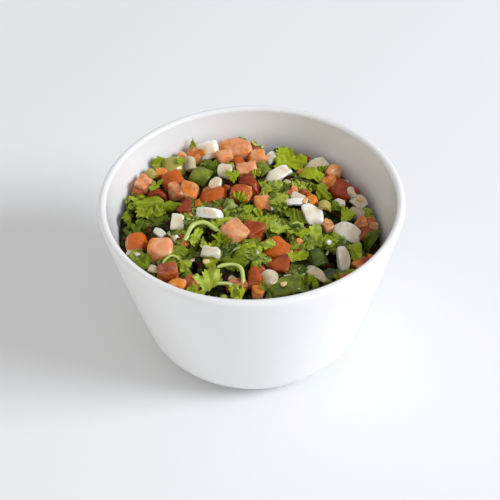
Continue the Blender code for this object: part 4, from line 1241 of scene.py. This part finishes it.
def stem_finish():
    """Pale green stalk, lighter and darker in places, damp and a little clear."""
    made = Finish("coriander_stalk")
    tone, pale = made.value("tone"), made.value("pale")
    cloud = made.noise(2 * MM, 3)
    shade = (tone + 0.4 * (cloud - 0.5)).step(0, 1)
    green = made.mixed((0.20, 0.30, 0.02, 1), (0.54, 0.68, 0.11, 1), shade)
    made.wear({
        "Base Color": made.mixed(green, (0.60, 0.66, 0.32, 1), pale * 0.8),
        "Roughness": 0.32,
        "Subsurface Weight": 0.25,
        "Subsurface Radius": (0.6, 1.0, 0.2),
        "Subsurface Scale": 1 * MM,
        "Coat Weight": 0.3,
        "Coat Roughness": 0.1,
        "Normal": made.relief(cloud, 0.1 * MM),
    })
    return made


STEM_FACES = stem_faces()
stalks = Heaping()
for piece in of_kind("stem"):
    draw = piece.more_dice()
    points = waves(stem_points(piece), draw, 8 * MM, 0.3 * MM)
    points = draped(piece.placed(points), piece.ground)
    stalks.add(points, STEM_FACES, tone=piece.tone, pale=piece.share)
stalks.made("coriander_stalks", stem_finish(), "stem")


# The seeds. Flat tomato seeds with a thin coat of gel, which came off the flesh and lie where they fell.
def seed_finish():
    """Cream-yellow seed, more orange where the gel still clings."""
    made = Finish("tomato_seed")
    gel = (made.value("tone") + made.noise(1.5 * MM) - 0.5).step(0, 1)
    made.wear({
        "Base Color": made.mixed((0.78, 0.62, 0.34, 1), (0.72, 0.36, 0.09, 1), gel),
        "Roughness": 0.3,
        "Subsurface Weight": 0.3,
        "Subsurface Radius": (1.0, 0.6, 0.2),
        "Subsurface Scale": 0.6 * MM,
        "Coat Weight": 0.5,
        "Coat Roughness": 0.1,
    })
    return made


SEED_NET = cube_net(4)
seeds = Heaping()
for piece in of_kind("seed"):
    net = softened(SEED_NET[0], 2.2)
    points = net * np.array(piece.size) / 2
    points[:, 1:] *= 1 - 0.3 * net[:, 0:1]
    seeds.add(piece.placed(points), SEED_NET[1], tone=piece.tone)
seeds.made("tomato_seeds", seed_finish(), "seed")


# The table, the light and the camera. A plain white table under one large soft window light from the right
# and a little in front, with a weaker warm light from the left and pale walls all round.
TARGET = Vector((-1.0, 3.8, 38.2)) * MM
CAMERA_PLACE = Vector((0, -478.5, 474.0)) * MM
FOCAL_LENGTH = 121.9


def make_table():
    bm = bmesh.new()
    bmesh.ops.create_circle(bm, cap_ends=True, radius=4, segments=96)
    mesh = bpy.data.meshes.new("table")
    bm.to_mesh(mesh)
    bm.free()
    table = new_piece("table", mesh)
    made = Finish("white_table")
    made.wear({"Base Color": made.mixed((0.86, 0.87, 0.885, 1), (0.88, 0.885, 0.895, 1), made.noise(0.3)),
               "Roughness": 0.8, "Specular IOR Level": 0.2})
    mesh.materials.append(made.material)


def area_light(name, place, aim, size, power, colour):
    data = bpy.data.lights.new(name, "AREA")
    data.shape = "DISK"
    data.size = size
    data.energy = power
    data.color = colour
    light = bpy.data.objects.new(name, data)
    light.location = place
    light.rotation_euler = (Vector(aim) - Vector(place)).to_track_quat("-Z", "Y").to_euler()
    bpy.context.scene.collection.objects.link(light)


make_table()
area_light("window", (1.345, -0.42, 0.904), (0, 0, 0.03), 0.75, 23.4, (0.89, 0.92, 1.0))
area_light("pale_wall", (-1.0, -0.35, 0.22), (0, 0, 0.03), 0.6, 1.6, (1.0, 0.92, 0.78))

world = bpy.data.worlds.new("pale_room")
world.use_nodes = True
world.node_tree.nodes["Background"].inputs["Color"].default_value = (1.0, 0.995, 0.985, 1)
world.node_tree.nodes["Background"].inputs["Strength"].default_value = 0.55
bpy.context.scene.world = world
bpy.context.scene.view_settings.view_transform = "Standard"

camera = bpy.data.objects.new("camera", bpy.data.cameras.new("camera"))
camera.data.lens = FOCAL_LENGTH
camera.data.clip_start = 0.05
camera.location = CAMERA_PLACE
aim = (TARGET - CAMERA_PLACE).to_track_quat("-Z", "Y").to_matrix() @ Matrix.Rotation(PICTURE_TURN, 3, "Z")
camera.rotation_euler = aim.to_euler()
bpy.context.scene.collection.objects.link(camera)
bpy.context.scene.camera = camera
